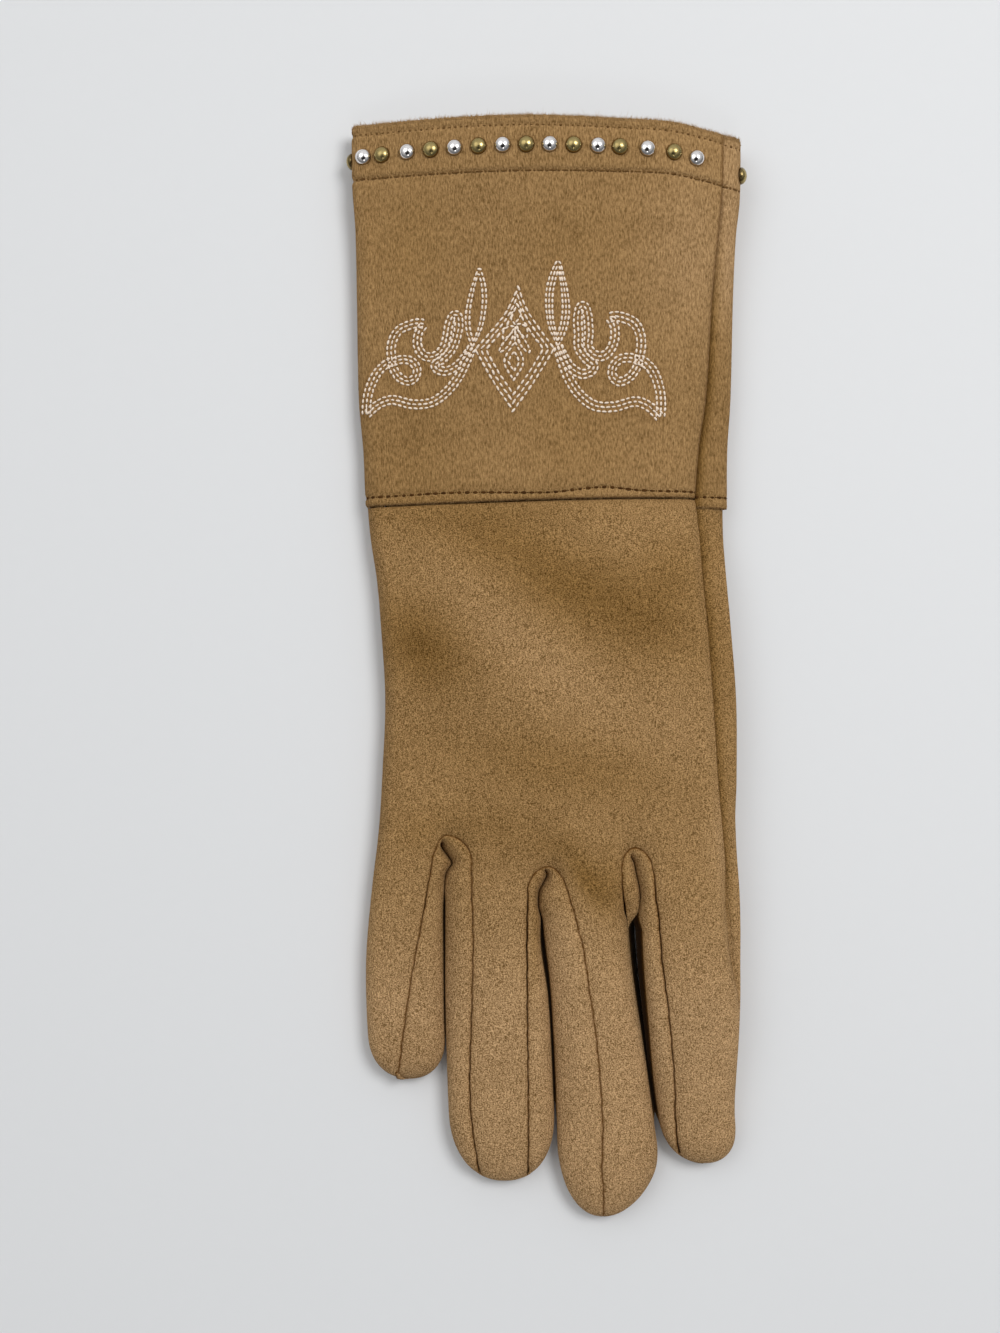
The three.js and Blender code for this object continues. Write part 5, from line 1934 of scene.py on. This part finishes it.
@dataclass(frozen=True)
class Studio:
    """A pale floor, soft light from above and the camera that looks straight down."""

    floor_side: float = 1.6
    floor_z: float = -0.0003
    floor_colours: tuple[Colour, Colour] = ((0.76, 0.765, 0.77, 1.0), (0.81, 0.812, 0.815, 1.0))
    sky: Colour = (0.96, 0.98, 1.0, 1.0)
    shade: Colour = (0.02, 0.02, 0.02, 1.0)
    shaded_sky: tuple[float, float, float] = (-0.1, -0.3, 0.949)
    shade_edge: Pair = (0.86, 0.93)
    bright_sky: tuple[float, float, float] = (-0.1, 0.49, 0.866)
    low_sky: tuple[float, float, float, float] = (0.1, 0.85, 0.18, 0.78)
    lamps: tuple[tuple[str, tuple[float, float, float], float, float], ...] = (
        ("key", (0.42, 0.35, 0.9), 0.45, 5.0),
        ("window", (-0.5, 0.35, 0.8), 0.8, 1.5),
        ("lamp", (0.04, -0.55, 0.72), 0.2, 0.3),
    )

    def floor(self) -> None:
        """A large pale floor just under the glove."""
        mesh = bpy.data.meshes.new("floor")
        side = self.floor_side
        corners = [(x * side, y * side, self.floor_z) for x, y in ((-1, -1), (1, -1), (1, 1), (-1, 1))]
        mesh.from_pydata(corners, [], [(0, 1, 2, 3)])
        piece = linked("floor", mesh)
        g = Graph("pale_floor")
        where = g.node("ShaderNodeTexCoord", {}, out="Object")
        tone = (g.noise(where, 260.0, 3.0) - 0.5) * 0.2 + 0.5
        colour = g.mix_colour(tone.clamp(), *self.floor_colours)
        inputs = {"Base Color": colour, "Roughness": 0.9, "Specular IOR Level": 0.1}
        mesh.materials.append(g.finish(g.node("ShaderNodeBsdfPrincipled", {}, inputs)))

    def light(self, name: str, place: tuple[float, float, float], size: float, power: float) -> None:
        """An area light at place, in metres, turned to face the middle of the glove."""
        data = bpy.data.lights.new(name, "AREA")
        data.shape, data.size, data.energy = "DISK", size, power
        lamp = linked(name, data)
        x, y, z = place
        lamp.location = place
        lamp.rotation_euler = (math.atan2(math.hypot(x, y), z), 0.0, math.atan2(x, -y))

    def shade_above(self, tree: bpy.types.NodeTree, background: bpy.types.Node) -> None:
        """Darken the low sky to the south and a round part nearly overhead, which the studs mirror."""
        direction = tree.nodes.new("ShaderNodeTexCoord")
        nearness, height = (tree.nodes.new("ShaderNodeVectorMath") for _ in range(2))
        for node, towards in ((nearness, self.shaded_sky), (height, self.bright_sky)):
            node.operation = "DOT_PRODUCT"
            node.inputs[1].default_value = towards
            tree.links.new(direction.outputs["Generated"], node.inputs[0])
        ramp = tree.nodes.new("ShaderNodeValToRGB")
        for element, edge, colour in zip(ramp.color_ramp.elements, self.shade_edge, (self.sky, self.shade)):
            element.position, element.color = edge, colour
        rise = tree.nodes.new("ShaderNodeMapRange")
        for key, value in zip(("From Min", "From Max", "To Min", "To Max"), self.low_sky):
            rise.inputs[key].default_value = value
        tree.links.new(nearness.outputs["Value"], ramp.inputs["Fac"])
        tree.links.new(ramp.outputs["Color"], background.inputs["Color"])
        tree.links.new(height.outputs["Value"], rise.inputs["Value"])
        tree.links.new(rise.outputs["Result"], background.inputs["Strength"])

    def build(self) -> None:
        """Make the floor, the lights, the world and the camera."""
        self.floor()
        for lamp in self.lamps:
            self.light(*lamp)
        world = bpy.data.worlds.new("studio")
        world.use_nodes = True
        self.shade_above(world.node_tree, world.node_tree.nodes["Background"])
        bpy.context.scene.world = world
        data = bpy.data.cameras.new("camera")
        data.lens, data.sensor_width, data.sensor_fit = CAMERA_LENS, CAMERA_SENSOR, "AUTO"
        data.clip_start, data.clip_end = 0.01, 20.0
        camera = linked("camera", data)
        camera.location = tuple(value * MM for value in CAMERA)
        bpy.context.scene.camera = camera
        bpy.context.scene.view_settings.view_transform = "Standard"


def report(piece: bpy.types.Object) -> None:
    """Log a piece's name and its number of faces."""
    LOG.info("%s: %d faces", piece.name, len(piece.data.polygons))


def hand(suede: bpy.types.Material) -> None:
    """Build the hand's panels, the gussets and the thumb."""
    for panel, node in ((BackPanel(), "back_panel"), (PalmPanel(), "palm_panel")):
        cloth(dress(panel.build(), suede, "suede", node), panel.patches, panel.cut)
    for fork in FORKS:
        pair = f"{fork.left.name}_{fork.right.name}"
        gusset = Gusset(fork, f"gusset_{pair}")
        cloth(dress(gusset.build(), suede, "suede", f"fourchette_{pair}"), gusset.patches, gusset.cut)
    thumb = Thumb()
    cloth(dress(thumb.build(), suede, "suede", "thumb"), thumb.patches, thumb.cut)


def gauntlet(suede: bpy.types.Material) -> None:
    """Build the cuff with its studs, its three rows of stitches, its loose nap and its ornament."""
    cuff = Cuff()
    cloth(dress(cuff.back_panel(), suede, "suede", "cuff_back"), cuff.patches[-1:], cuff.back_cut)
    cloth(dress(cuff.palm_panel(), suede, "suede", "cuff_palm"), cuff.patches[-1:], cuff.palm_cut)
    for finish in StudFinish:
        report(Studs().build(cuff, finish))
    threads = {finish: finish.value.make() for finish in ThreadFinish}
    mouth = Sewing("mouth_stitches", cuff.hem_stitch_y, 2.9, (0.38, 0.12, 0.12), (0.32, 0.3, 0.18))
    hem = Sewing("hem_stitches", cuff.hem_y, 3.0, (0.92, 0.27, 0.18), (0.32, 0.36, 0.21))
    wrist = Sewing("wrist_stitches", cuff.stitch_y, 2.0, (0.66, 0.36, 0.22), (0.2, 0.14, 0.1))
    for row, finish in (
        (mouth, ThreadFinish.BROWN),
        (hem, ThreadFinish.BROWN),
        (wrist, ThreadFinish.DARK),
        (Fibres(), ThreadFinish.LOOSE),
        (Ornament(), ThreadFinish.CREAM),
    ):
        report(dress(row.build(cuff), threads[finish], "suede"))


def main() -> None:
    """Build the glove piece by piece, and the studio round it."""
    logging.basicConfig(level=logging.INFO, format="%(message)s")
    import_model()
    suede = Suede().make()
    hand(suede)
    gauntlet(suede)
    Studio().build()


if __name__ == "__main__":
    main()
